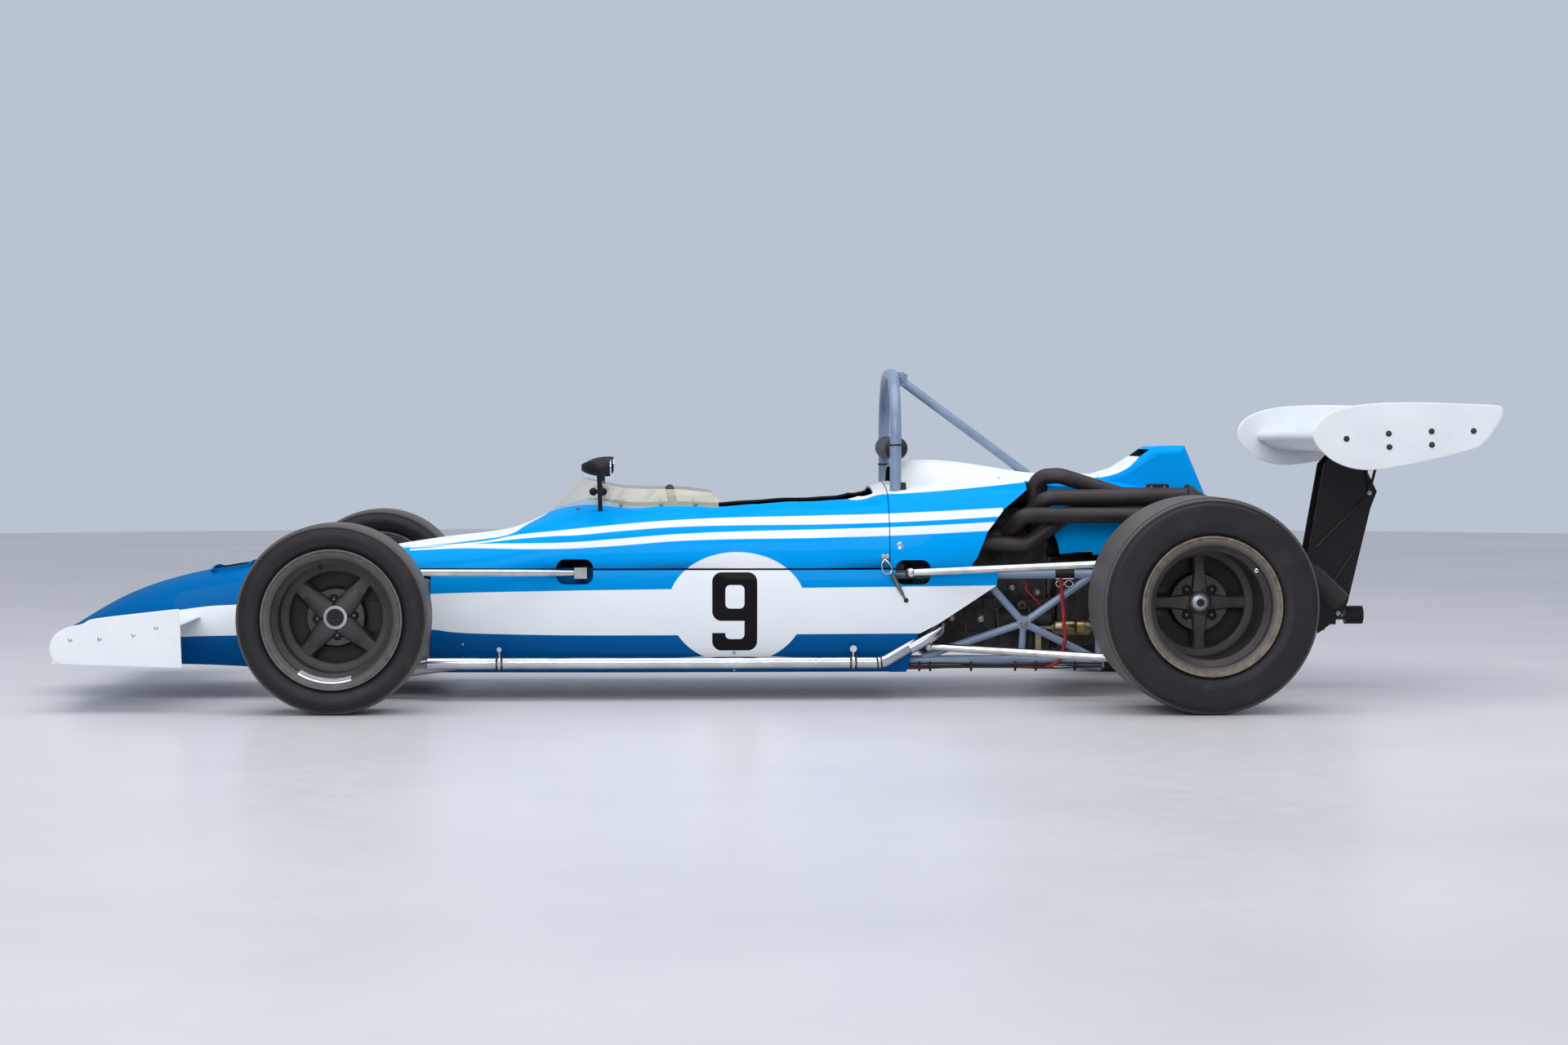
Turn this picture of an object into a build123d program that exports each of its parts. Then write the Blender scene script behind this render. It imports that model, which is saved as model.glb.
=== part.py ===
"""Open wheel single seat racing car of about 1970, in millimetres.

+Z is up, the nose points along -X and the driver's left is -Y. The origin is on the
ground, on the centreline, midway between the nose tip and the tail of the rear wing.
Stations along the car are given as distances behind the front axle, through at().
"""

import os
from math import cos, radians, sin

from build123d import *

os.makedirs("parts", exist_ok=True)

# ---------------------------------------------------------------- driving dimensions
WHEELBASE = 2270
FRONT_OVERHANG = 800
REAR_OVERHANG = 842
FRONT_AXLE = FRONT_OVERHANG - (FRONT_OVERHANG + WHEELBASE + REAR_OVERHANG) / 2
REAR_AXLE = FRONT_AXLE + WHEELBASE

SKIN = 6  # body panel
PLATE = 4  # fins' end plates, wing end plates and pylons
GAP = 0.3  # seat clearance between pieces that touch
RUN = 0.05  # running clearance of a bearing

FLOOR_Z = 72
FLOOR_T = 12
SEAM_Z = 357
SEAM_GAP = 0.8  # open joint between the cowl or the engine cover and the lower body
TUB_FRONT = 222
BULKHEAD = 1452  # front face of the bulkhead behind the seat
BULKHEAD_T = 23
SPLIT = BULKHEAD + BULKHEAD_T  # cowl ends and engine cover begins
NOSE_END = -180
COCKPIT_HALF = 250

# wheels
FRONT_TYRE_R = 248
FRONT_TYRE_W = 215
FRONT_TYRE_OUT = 800
REAR_TYRE_R = 282
REAR_TYRE_W = 330
REAR_TYRE_OUT = 885
HUB_FACE = 648  # where the rims bolt on, front and rear, from the centreline
RIM_BEAD_R = 165
RIM_LIP_R = 182
RIM_WELL_R = 149
RIM_WALL = 7
RIM_INSET = 5  # lip edge inboard of the tyre's face
LIP_T = 11
SEAT_W = 26
WEB_T = 24
NUT_CIRCLE = 95
WINDOW_R = 74  # inner edge of the rim's windows
SPOKE_HALF = 15
STUD_R = 6
DISC_R = 127
DISC_T = 10
DISC_Y = 622
SLEEVE_R = 30
STUBAXLE_R = 16
HUB_SHAFT_R = 22
HALF_SHAFT_R = 13

# steering
KINGPIN_Y = 600
BALL_TOP_Z = 358
BALL_LOW_Z = 132
PIN_R = 8
ARM = 104  # length of the steering arm, ahead of the axle
ARM_PIN_R = 5
EYE_BORE_R = 9.8  # the tie rod's eye swings about its pin on a rubber ball
RACK_Z = 205
RACK_R = 9
RACK_TUBE_R = 16
STEERING_WHEEL = (905, 440)  # behind axle, z
STEERING_WHEEL_R = 133
COLUMN_R = 9

# tubes
FRAME_R = 13
BRACE_R = 10.5
ROD_R = 10.5
HOOP_R = 16
HOOP_BEND = 170
HOOP_X = 1500
HOOP_HALF = 225
HOOP_TOP = 910
STAY_R = 12.5
EXHAUST_R = 22
WATER_R = 17
RAIL_Y = 290  # rear frame's sides, from the centreline
RAIL_TOP_Z = 339
RAIL_LOW_Z = 103
REAR_FRAME_END = 2060

GEARBOX_TAIL = 2740
PYLON_Y = 45
WING_SPAN = 1100
PLATE_Y = 700  # nose end plates

SIDES = {"left": -1, "right": 1}


# ---------------------------------------------------------------- helpers
def at(behind):
    """X of a station given as a distance behind the front axle."""
    return FRONT_AXLE + behind


def p(behind, y, z):
    """Point at a station."""
    return (at(behind), y, z)


def crosswise(x):
    """Sketch plane across the car at x: local x is Y and local y is Z."""
    return Plane(origin=(x, 0, 0), x_dir=(0, 1, 0), z_dir=(1, 0, 0))


def sidewise(y=0):
    """Sketch plane along the car at y, facing left: local x is X and local y is Z."""
    return Plane(origin=(0, y, 0), x_dir=(1, 0, 0), z_dir=(0, -1, 0))


def bar(start, end, radius):
    """Round bar between two points."""
    a = Vector(*start)
    b = Vector(*end)
    return Solid.make_cylinder(radius, (b - a).length, Plane(origin=a, z_dir=b - a))


def block(low, high):
    """Box between two corners."""
    size = [h - l for l, h in zip(low, high)]
    return Solid.make_box(*size, Plane(origin=low))


def slab(points, y_low, y_high):
    """Plate with a side view outline of (behind axle, z) points, between two Y values."""
    with BuildPart() as made:
        with BuildSketch(sidewise(y_high)):
            with BuildLine():
                Polyline(*[(at(x), z) for x, z in points], close=True)
            make_face()
        extrude(amount=y_high - y_low)
    return made.part


def pipe(points, radius, bend):
    """Round pipe along straight runs joined by arcs of one bend radius."""
    with BuildPart() as made:
        with BuildLine() as path:
            if len(points) > 2:
                FilletPolyline(*points, radius=bend)
            else:
                Line(*points)
        with BuildSketch(Plane(path.wire() ^ 0)):
            Circle(radius)
        sweep(transition=Transition.ROUND)
    return made.part


def mirrored(shape):
    """Mirror image across the centreline."""
    return mirror(shape, Plane.XZ)


def write(name, part):
    """Label a finished piece and export it."""
    part.label = name
    export_step(part, f"parts/{name}.step")


# ---------------------------------------------------------------- body sections
# lower body: behind axle, floor half width, middle half width, seam half width
LOWER_BODY = [
    (TUB_FRONT, 292, 328, 322),
    (380, 303, 341, 336),
    (540, 312, 351, 347),
    (700, 318, 357, 353),
    (900, 320, 360, 356),
    (1200, 320, 361, 356),
    (1475, 318, 359, 354),
    (1640, 311, 355, 349),
    (1800, 300, 350, 342),
]
# cockpit cowl: behind axle, z and half width of the seam, of the side, of the shoulder, z of the crown
COWL = [
    (NOSE_END, 300, 262, 332, 252, 360, 170, 372),
    (0, 322, 282, 352, 270, 385, 172, 398),
    (180, 348, 304, 380, 292, 412, 180, 426),
    (330, SEAM_Z, 328, 392, 316, 428, 190, 441),
    (430, SEAM_Z, 340, 402, 329, 446, 200, 460),
    (530, SEAM_Z, 347, 424, 338, 484, 214, 502),
    (600, SEAM_Z, 351, 436, 342, 510, 230, 532),
    (680, SEAM_Z, 353, 442, 344, 521, 242, 546),
    (1060, SEAM_Z, 355, 450, 345, 530, 256, 556),
    (1300, SEAM_Z, 354, 456, 344, 543, 258, 572),
    (SPLIT, SEAM_Z, 352, 462, 341, 560, 262, 590),
]
# engine cover, front: the same columns
COVER = [
    (SPLIT, SEAM_Z, 352, 462, 341, 560, 262, 590),
    (1640, SEAM_Z, 348, 472, 335, 575, 254, 600),
    (1800, SEAM_Z, 338, 480, 322, 584, 236, 604),
    (2000, SEAM_Z, 300, 480, 285, 588, 200, 604),
]
# engine cover, narrow tail
TAIL = [
    (1800, 370, 212, 480, 210, 580, 200, 612),
    (1960, 376, 211, 480, 208, 580, 196, 612),
    (2090, 384, 204, 480, 200, 574, 180, 610),
    (2240, 400, 182, 480, 178, 560, 152, 588),
    (2385, 430, 150, 480, 146, 535, 120, 556),
]
# hump on the engine cover: behind axle, half width, z of the crown
HUMP = [
    (1497, 150, 640),
    (1600, 140, 652),
    (1760, 112, 636),
    (1930, 62, 614),
]
# nose cone: behind axle, z and half width low, of the widest line, of the shoulder, z of the crown
NOSE = [
    (-FRONT_OVERHANG, 130, 112, 158, 138, 180, 98, 188),
    (-750, 116, 150, 163, 180, 204, 118, 218),
    (-670, 104, 188, 172, 214, 246, 142, 264),
    (-580, 97, 215, 186, 242, 284, 156, 302),
    (-480, 94, 234, 200, 260, 312, 165, 331),
    (-330, 90, 250, 212, 274, 342, 168, 358),
    (NOSE_END, 88, 255, 220, 280, 360, 170, 372),
]


def shell_section(row, inset=0, drop=0):
    """Closed section of a row, moved in by inset, its low edge also down by drop."""
    x, z_low, w_low, z_side, w_side, z_top, w_top, z_crown = row
    low = (w_low - inset, z_low - drop)
    side = (w_side - inset, z_side)
    top = (w_top - inset / 2, z_top - inset)
    crown = (0, z_crown - inset)
    with BuildSketch(crosswise(at(x))) as made:
        with BuildLine():
            Line((-low[0], low[1]), low)
            ThreePointArc(low, side, top)
            ThreePointArc(top, crown, (-top[0], top[1]))
            ThreePointArc((-top[0], top[1]), (-side[0], side[1]), (-low[0], low[1]))
        make_face()
    return made.sketch


def shell_loft(rows, inset=0, drop=0):
    """Solid through the sections of the rows."""
    with BuildPart() as made:
        for row in rows:
            add(shell_section(row, inset, drop))
        loft()
    return made.part


def tub_loft(rows, inset=0, drop=0):
    """Solid of the lower body, flat at the floor and the seam."""
    with BuildPart() as made:
        for x, w_floor, w_side, w_seam in rows:
            low = (w_floor - inset, FLOOR_Z - drop)
            top = (w_seam - inset, SEAM_Z + drop)
            with BuildSketch(crosswise(at(x))):
                with BuildLine():
                    Line((-low[0], low[1]), low)
                    ThreePointArc(low, (w_side - inset, 225), top)
                    Line(top, (-top[0], top[1]))
                    ThreePointArc((-top[0], top[1]), (inset - w_side, 225), (-low[0], low[1]))
                make_face()
        loft()
    return made.part


# ---------------------------------------------------------------- lower body
# round cornered openings in the side, across the seam: front and rear end, low and high z
SIDE_HOLES = [(565, 665, 316, 385), (1490, 1587, 314, 381)]
SIDE_HOLE_DEPTH = 90
JACK_CUT = 1  # planed off the underside


def side_hole(row, inner=COCKPIT_HALF + 8):
    """Cutter for one side opening, through both sides."""
    front, rear, low, high = row
    with BuildPart() as made:
        for side in (-1, 1):
            y = side * (inner + SIDE_HOLE_DEPTH / 2 + 30)
            with BuildSketch(Plane(origin=(at((front + rear) / 2), y, (low + high) / 2), x_dir=(1, 0, 0), z_dir=(0, -1, 0))):
                RectangleRounded(rear - front, high - low, 24)
            extrude(amount=SIDE_HOLE_DEPTH / 2 + 30, both=True)
    return made.part


def make_lower_body():
    tail = [(1775, 360), (1768, 311), (1608, 206), (1552, 177), (1514, 40), (1900, 40), (1900, 360)]
    with BuildPart() as body:
        add(tub_loft(LOWER_BODY))
        cockpit = block(
            (at(TUB_FRONT - 10), -COCKPIT_HALF, FLOOR_Z + FLOOR_T),
            (at(BULKHEAD), COCKPIT_HALF, SEAM_Z + 10),
        )
        add(cockpit, mode=Mode.SUBTRACT)
        bay = tub_loft(LOWER_BODY, SKIN, 12) & block(
            (at(SPLIT), -400, 0), (at(1900), 400, 500)
        )
        add(bay, mode=Mode.SUBTRACT)
        add(slab(tail, -400, 400), mode=Mode.SUBTRACT)
        for row in SIDE_HOLES:
            add(side_hole(row), mode=Mode.SUBTRACT)
        # a true plane along the underside, where a jack or a stand bears
        add(block((at(-200), -400, 0), (at(SPLIT), 400, FLOOR_Z + JACK_CUT)), mode=Mode.SUBTRACT)
    write("lower_body", body.part)


# ---------------------------------------------------------------- cockpit cowl
COCKPIT_FRONT = 640
COCKPIT_REAR = 1440
COCKPIT_MOUTH = 236


def make_cockpit_cowl():
    with BuildPart() as cowl:
        add(shell_loft(COWL))
        add(shell_loft(COWL, SKIN, 12), mode=Mode.SUBTRACT)
        with BuildSketch(Plane.XY.offset(SEAM_Z + 60)):
            with BuildLine():
                front = at(COCKPIT_FRONT)
                rear = at(COCKPIT_REAR)
                mouth = COCKPIT_MOUTH
                ThreePointArc((front + 230, -mouth), (front, 0), (front + 230, mouth))
                Line((front + 230, mouth), (rear - 60, mouth))
                TangentArc((rear - 60, mouth), (rear, mouth - 60), tangent=(1, 0))
                Line((rear, mouth - 60), (rear, 60 - mouth))
                TangentArc((rear, 60 - mouth), (rear - 60, -mouth), tangent=(0, -1))
                Line((rear - 60, -mouth), (front + 230, -mouth))
            make_face()
        extrude(amount=300, mode=Mode.SUBTRACT)
        add(side_hole(SIDE_HOLES[0]), mode=Mode.SUBTRACT)
        below = block((at(NOSE_END - 10), -400, 0), (at(SPLIT + 10), 400, SEAM_Z + SEAM_GAP))
        ahead = block((at(NOSE_END - 10), -400, 0), (at(TUB_FRONT - 1), 400, SEAM_Z + SEAM_GAP))
        add(below - ahead, mode=Mode.SUBTRACT)
        # notches over the front links and dampers
        for side in (-1, 1):
            low, high = sorted((side * 225, side * 320))
            add(block(p(-34, low, 280), p(80, high, 350)), mode=Mode.SUBTRACT)
        # the rear side openings reach the last few millimetres of the cowl
        add(side_hole((SIDE_HOLES[1][0] - 20, *SIDE_HOLES[1][1:])), mode=Mode.SUBTRACT)
    write("cockpit_cowl", cowl.part)


# ---------------------------------------------------------------- windscreen
SCREEN_T = 4


def screen_cone(inset):
    """Wrapped screen's outer form: a U in plan, drawn in towards its top and leaning back."""
    # z, apex behind axle, half width at the rear, rear end
    levels = [(470, 505, 262, 1030), (620, 640, 214, 1030)]
    with BuildPart() as made:
        for z, apex, half, rear in levels:
            with BuildSketch(Plane.XY.offset(z)):
                with BuildLine():
                    front = at(apex) + inset
                    w = half - inset
                    knee = at(apex + 250)
                    ThreePointArc((knee, -w), (front, 0), (knee, w))
                    Line((knee, w), (at(rear), w))
                    Line((at(rear), w), (at(rear), -w))
                    Line((at(rear), -w), (knee, -w))
                make_face()
        loft()
    return made.part


def make_windscreen():
    side_view = [(500, 470), (528, 509), (625, 603), (680, 590), (736, 577), (991, 558), (1009, 540), (1009, 470)]
    with BuildPart() as screen:
        add(screen_cone(0))
        add(screen_cone(SCREEN_T), mode=Mode.SUBTRACT)
        add(slab(side_view, -300, 300), mode=Mode.INTERSECT)
        add(shell_loft(COWL, -GAP), mode=Mode.SUBTRACT)
    write("windscreen", screen.part)


# ---------------------------------------------------------------- nose
INLET_HALF = 98
OUTLET = (-398, -300)  # radiator outlet on top, front and rear end behind the axle
OUTLET_HALF = 120
RIM_RISE = 9
RADIATOR_X = -560


def make_nose_cone():
    with BuildPart() as nose:
        add(shell_loft(NOSE))
        add(shell_loft(NOSE, SKIN, -SKIN), mode=Mode.SUBTRACT)
        # oval inlet, rolled back at the lip
        with BuildSketch(crosswise(at(-FRONT_OVERHANG - 5))):
            with Locations((0, 160)):
                SlotOverall(2 * INLET_HALF, 44)
        extrude(amount=40, mode=Mode.SUBTRACT)
        # outlet behind the radiator, with a raised rim
        middle = at(sum(OUTLET) / 2)
        length = OUTLET[1] - OUTLET[0]
        with BuildPart(mode=Mode.PRIVATE) as rim:
            add(shell_loft(NOSE, -RIM_RISE, RIM_RISE))
            with BuildSketch(Plane.XY.offset(290)):
                with Locations((middle, 0)):
                    RectangleRounded(length + 2 * SKIN, 2 * (OUTLET_HALF + SKIN), 26)
            extrude(amount=100, mode=Mode.INTERSECT)
            add(shell_loft(NOSE, SKIN, -SKIN), mode=Mode.SUBTRACT)
        add(rim.part)
        with BuildSketch(Plane.XY.offset(290)):
            with Locations((middle, 0)):
                RectangleRounded(length, 2 * OUTLET_HALF, 20)
        extrude(amount=120, mode=Mode.SUBTRACT)
        # way out for the water pipes
        for side in (-1, 1):
            add(pipe(water_line(side)[1:6], WATER_R + 3, WATER_BEND), mode=Mode.SUBTRACT)
    write("nose_cone", nose.part)

    with BuildPart() as radiator:
        add(block(p(RADIATOR_X, -150, 122), p(RADIATOR_X + 40, 150, 282)))
        for side in (-1, 1):
            low, high = sorted((side * 150, side * 200))
            add(block(p(RADIATOR_X - 4, low, 122), p(RADIATOR_X + 44, high, 246)))
    write("radiator", radiator.part)


FIN_FRONT = (-728, 138)
FIN_REAR = (-412, 227)
FIN_T = 16
NOSE_PLATE = [(-738, 168), (-728, 203), (-689, 226), (-650, 233), (-628, 247), (-402, 272), (-396, 118), (-708, 128), (-732, 143)]


def make_nose_wings():
    with BuildPart() as fins:
        for side in (-1, 1):
            y_root = side * 150
            with BuildSketch(sidewise(y_root)):
                with BuildLine():
                    nose_point = (at(FIN_FRONT[0]), FIN_FRONT[1])
                    tail_point = (at(FIN_REAR[0]), FIN_REAR[1])
                    mid = ((nose_point[0] + tail_point[0]) / 2 - 30, (nose_point[1] + tail_point[1]) / 2)
                    ThreePointArc(nose_point, (mid[0], mid[1] + 6), tail_point)
                    Line(tail_point, (tail_point[0] + 1, tail_point[1] - 3))
                    ThreePointArc((tail_point[0] + 1, tail_point[1] - 3), (mid[0], mid[1] - 14), (nose_point[0] + 3, nose_point[1] - 9))
                    ThreePointArc(
                        (nose_point[0] + 3, nose_point[1] - 9),
                        (nose_point[0] - 5, nose_point[1] - 5),
                        nose_point,
                    )
                make_face()
            extrude(amount=-side * (PLATE_Y - PLATE / 2 - 150 - GAP))
        add(shell_loft(NOSE, -GAP, GAP), mode=Mode.SUBTRACT)
    outer = [s for s in fins.part.solids() if abs(s.center().Y) > 250]
    write("nose_fins", Compound(outer))

    with BuildPart() as plates:
        for side in (-1, 1):
            add(slab(NOSE_PLATE, side * PLATE_Y - PLATE / 2, side * PLATE_Y + PLATE / 2))
        uprights = plates.edges().filter_by(Axis.Y).sort_by(Axis.X)[:6]
        fillet(uprights, 12)
    write("nose_plates", plates.part)


# ---------------------------------------------------------------- front frame
FOOT_RAIL_Y = 200
FOOT_LOW_Z = 116
FOOT_TOP_Z = 318


def make_front_frame():
    low, top = FOOT_LOW_Z, FOOT_TOP_Z
    y = FOOT_RAIL_Y
    butt = TUB_FRONT - FRAME_R - GAP
    nose = RADIATOR_X + 60
    with BuildPart() as frame:
        for side in (-1, 1):
            # start and end of each tube: behind axle, y, z
            for a, b in (
                ((butt, y, low), (NOSE_END - 8, y, low)),
                ((NOSE_END - 6, y - 1, low), (nose, 140, low + 4)),
                ((butt, y - 4, top), (NOSE_END - 8, 186, top)),
                ((NOSE_END - 4, 185, top - 4), (nose, 140, low + 8)),
                ((butt, 280, low), (butt, 292, top + 4)),
                ((NOSE_END, y, low), (NOSE_END, 186, top)),
                ((0, y, low), (0, 191, top)),
            ):
                add(bar(p(a[0], side * a[1], a[2]), p(b[0], side * b[1], b[2]), FRAME_R))
        for x, half, z in (
            (butt, 284, low),
            (butt, 292, top),
            (NOSE_END, y + 4, low),
            (NOSE_END, 188, top),
            (nose, 146, low + 4),
        ):
            add(bar(p(x, -half, z), p(x, half, z), FRAME_R - 1))
        # footwell's floor, and its sides between the rails
        add(block(p(NOSE_END, -y, low - 2), p(butt, y, low + 1)))
        for side in (-1, 1):
            inner, outer = sorted((side * (y - 5), side * (y - 2)))
            add(block(p(NOSE_END, inner, low), p(butt, outer, top - 4)))
        # lugs beside the dampers' top eyes
        x, damper_y, damper_z = FRONT_DAMPER[1]
        for side in (-1, 1):
            inner, outer = sorted((side * 190, side * (damper_y - DAMPER_EYE_R - GAP)))
            add(block(p(x - 8, inner, top - 4), p(x + 8, outer, damper_z + 4)))
        # rack housing across the footwell, with the pinion's boss
        add(bar(p(-ARM, -y, RACK_Z), p(-ARM, y, RACK_Z), RACK_TUBE_R))
        add(bar(column_point(0), column_point(64), RACK_TUBE_R + 5))
        add(bar(p(-ARM, -y - 60, RACK_Z), p(-ARM, y + 60, RACK_Z), RACK_R + RUN), mode=Mode.SUBTRACT)
        add(bar(column_point(0), column_point(80), COLUMN_R + RUN), mode=Mode.SUBTRACT)
    write("front_frame", frame.part)


def column_point(distance):
    """Point on the steering column's axis, from the rack up towards the wheel."""
    run = STEERING_WHEEL[0] + ARM
    rise = STEERING_WHEEL[1] - RACK_Z
    length = (run**2 + rise**2) ** 0.5
    return p(-ARM + run * distance / length, 0, RACK_Z + rise * distance / length)


COLUMN_LENGTH = ((STEERING_WHEEL[0] + ARM) ** 2 + (STEERING_WHEEL[1] - RACK_Z) ** 2) ** 0.5
COLUMN_DIR = Vector(*column_point(1)) - Vector(*column_point(0))


# ---------------------------------------------------------------- front suspension
LINK_EYE_R = 18
LINK_EYE_T = 20
TRAIL_REAR = (618, 345, 347)  # clevis of the front trailing rod


def link_eye(behind, y, z, radius=LINK_EYE_R, height=LINK_EYE_T, bore=PIN_R + RUN):
    """Vertical bearing eye, centred at a point."""
    with BuildPart() as eye:
        with BuildSketch(Plane.XY.offset(z - height / 2)):
            with Locations((at(behind), y)):
                Circle(radius)
                Circle(bore, mode=Mode.SUBTRACT)
        extrude(amount=height)
    return eye.part


# lower and upper ends of the front dampers' axes
FRONT_DAMPER = (46, 470, BALL_LOW_Z + 26), (46, FOOT_RAIL_Y + FRAME_R + 16, FOOT_TOP_Z + 8)
DAMPER_EYE_R = 13


def front_links():
    """Upper link, trailing rod with its clevis, and lower wishbone of the right side."""
    k = KINGPIN_Y
    rail = FOOT_RAIL_Y + FRAME_R + GAP + 3
    top_rail = 194 + FRAME_R + GAP
    reach = k - (LINK_EYE_R - 4)
    with BuildPart() as links:
        add(link_eye(0, k, BALL_TOP_Z))
        add(bar(p(0, reach, BALL_TOP_Z), p(0, top_rail, FOOT_TOP_Z), ROD_R))
        add(link_eye(0, k, BALL_LOW_Z))
        for inner in (-110, 110):
            add(bar(p(0, reach, BALL_LOW_Z), p(inner, rail, FOOT_LOW_Z), ROD_R))
        # post under the damper's lower eye
        x, y, z = FRONT_DAMPER[0]
        add(bar(p(x - 3, y, BALL_LOW_Z - 10), p(x - 3, y, z - DAMPER_EYE_R - GAP), 8))
        pins = bar(p(0, k, BALL_LOW_Z - 40), p(0, k, BALL_TOP_Z + 40), PIN_R + RUN)
        add(pins, mode=Mode.SUBTRACT)
    x, y, z = TRAIL_REAR
    with BuildPart() as trailing:
        tip = p(30, 548, BALL_TOP_Z + 1)
        add(bar(tip, p(x, y, z), ROD_R - 1))
        add(bar(p(8, 562, BALL_TOP_Z), tip, ROD_R - 3))
        add(Solid.make_sphere(ROD_R + 1, Plane(origin=tip)))
        # clevis inside the side opening, on the tank's inner wall
        add(block(p(x - 4, COCKPIT_HALF + 8 + GAP, z - 15), p(x + 30, y + 14, z + 15)))
    return [*links.part.solids(), *trailing.part.solids()]


def make_front_suspension():
    right = front_links()
    write("front_links", Compound(right + [mirrored(piece) for piece in right]))

    with BuildPart() as dampers:
        for side in (-1, 1):
            low, top = (p(x, side * y, z) for x, y, z in FRONT_DAMPER)
            add(coil_over(low, top, 27))
    write("front_dampers", dampers.part)


SPRING_WIRE = 5
SPRING_TURNS = 8


def coil_over(low, top, spring_r):
    """Damper, its rod, two spring seats and the spring, turned as one body about the unit's axis."""
    a = Vector(*low)
    b = Vector(*top)
    length = (b - a).length
    plane = Plane(origin=a, z_dir=b - a)
    turned = Plane(origin=a, x_dir=plane.x_dir, z_dir=plane.y_dir * -1)
    seat_low = length * 0.24
    seat_top = length * 0.88
    pitch = (seat_top - seat_low) / SPRING_TURNS
    wire = SPRING_WIRE
    core = spring_r - 2 * wire
    with BuildPart() as unit:
        with BuildSketch(turned):
            with BuildLine():
                Polyline((0, 0), (9, 0), (9, length * 0.08), (spring_r * 0.6, length * 0.1))
                Polyline((spring_r * 0.6, length * 0.1), (spring_r * 0.6, seat_low - 6), (spring_r + 2, seat_low - 6))
                Polyline((spring_r + 2, seat_low - 6), (spring_r + 2, seat_low), (core + wire, seat_low))
                for turn in range(SPRING_TURNS):
                    z = seat_low + turn * pitch
                    ThreePointArc((core + wire, z), (spring_r, z + pitch / 2), (core + wire, z + pitch))
                Polyline((core + wire, seat_top), (spring_r + 2, seat_top), (spring_r + 2, seat_top + 6))
                Polyline((spring_r + 2, seat_top + 6), (9, seat_top + 6), (9, length), (0, length), (0, 0))
            make_face()
        revolve(axis=Axis(a, b - a))
        for end in (a, b):
            add(Solid.make_sphere(DAMPER_EYE_R, Plane(origin=end)))
    return unit.part


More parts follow.
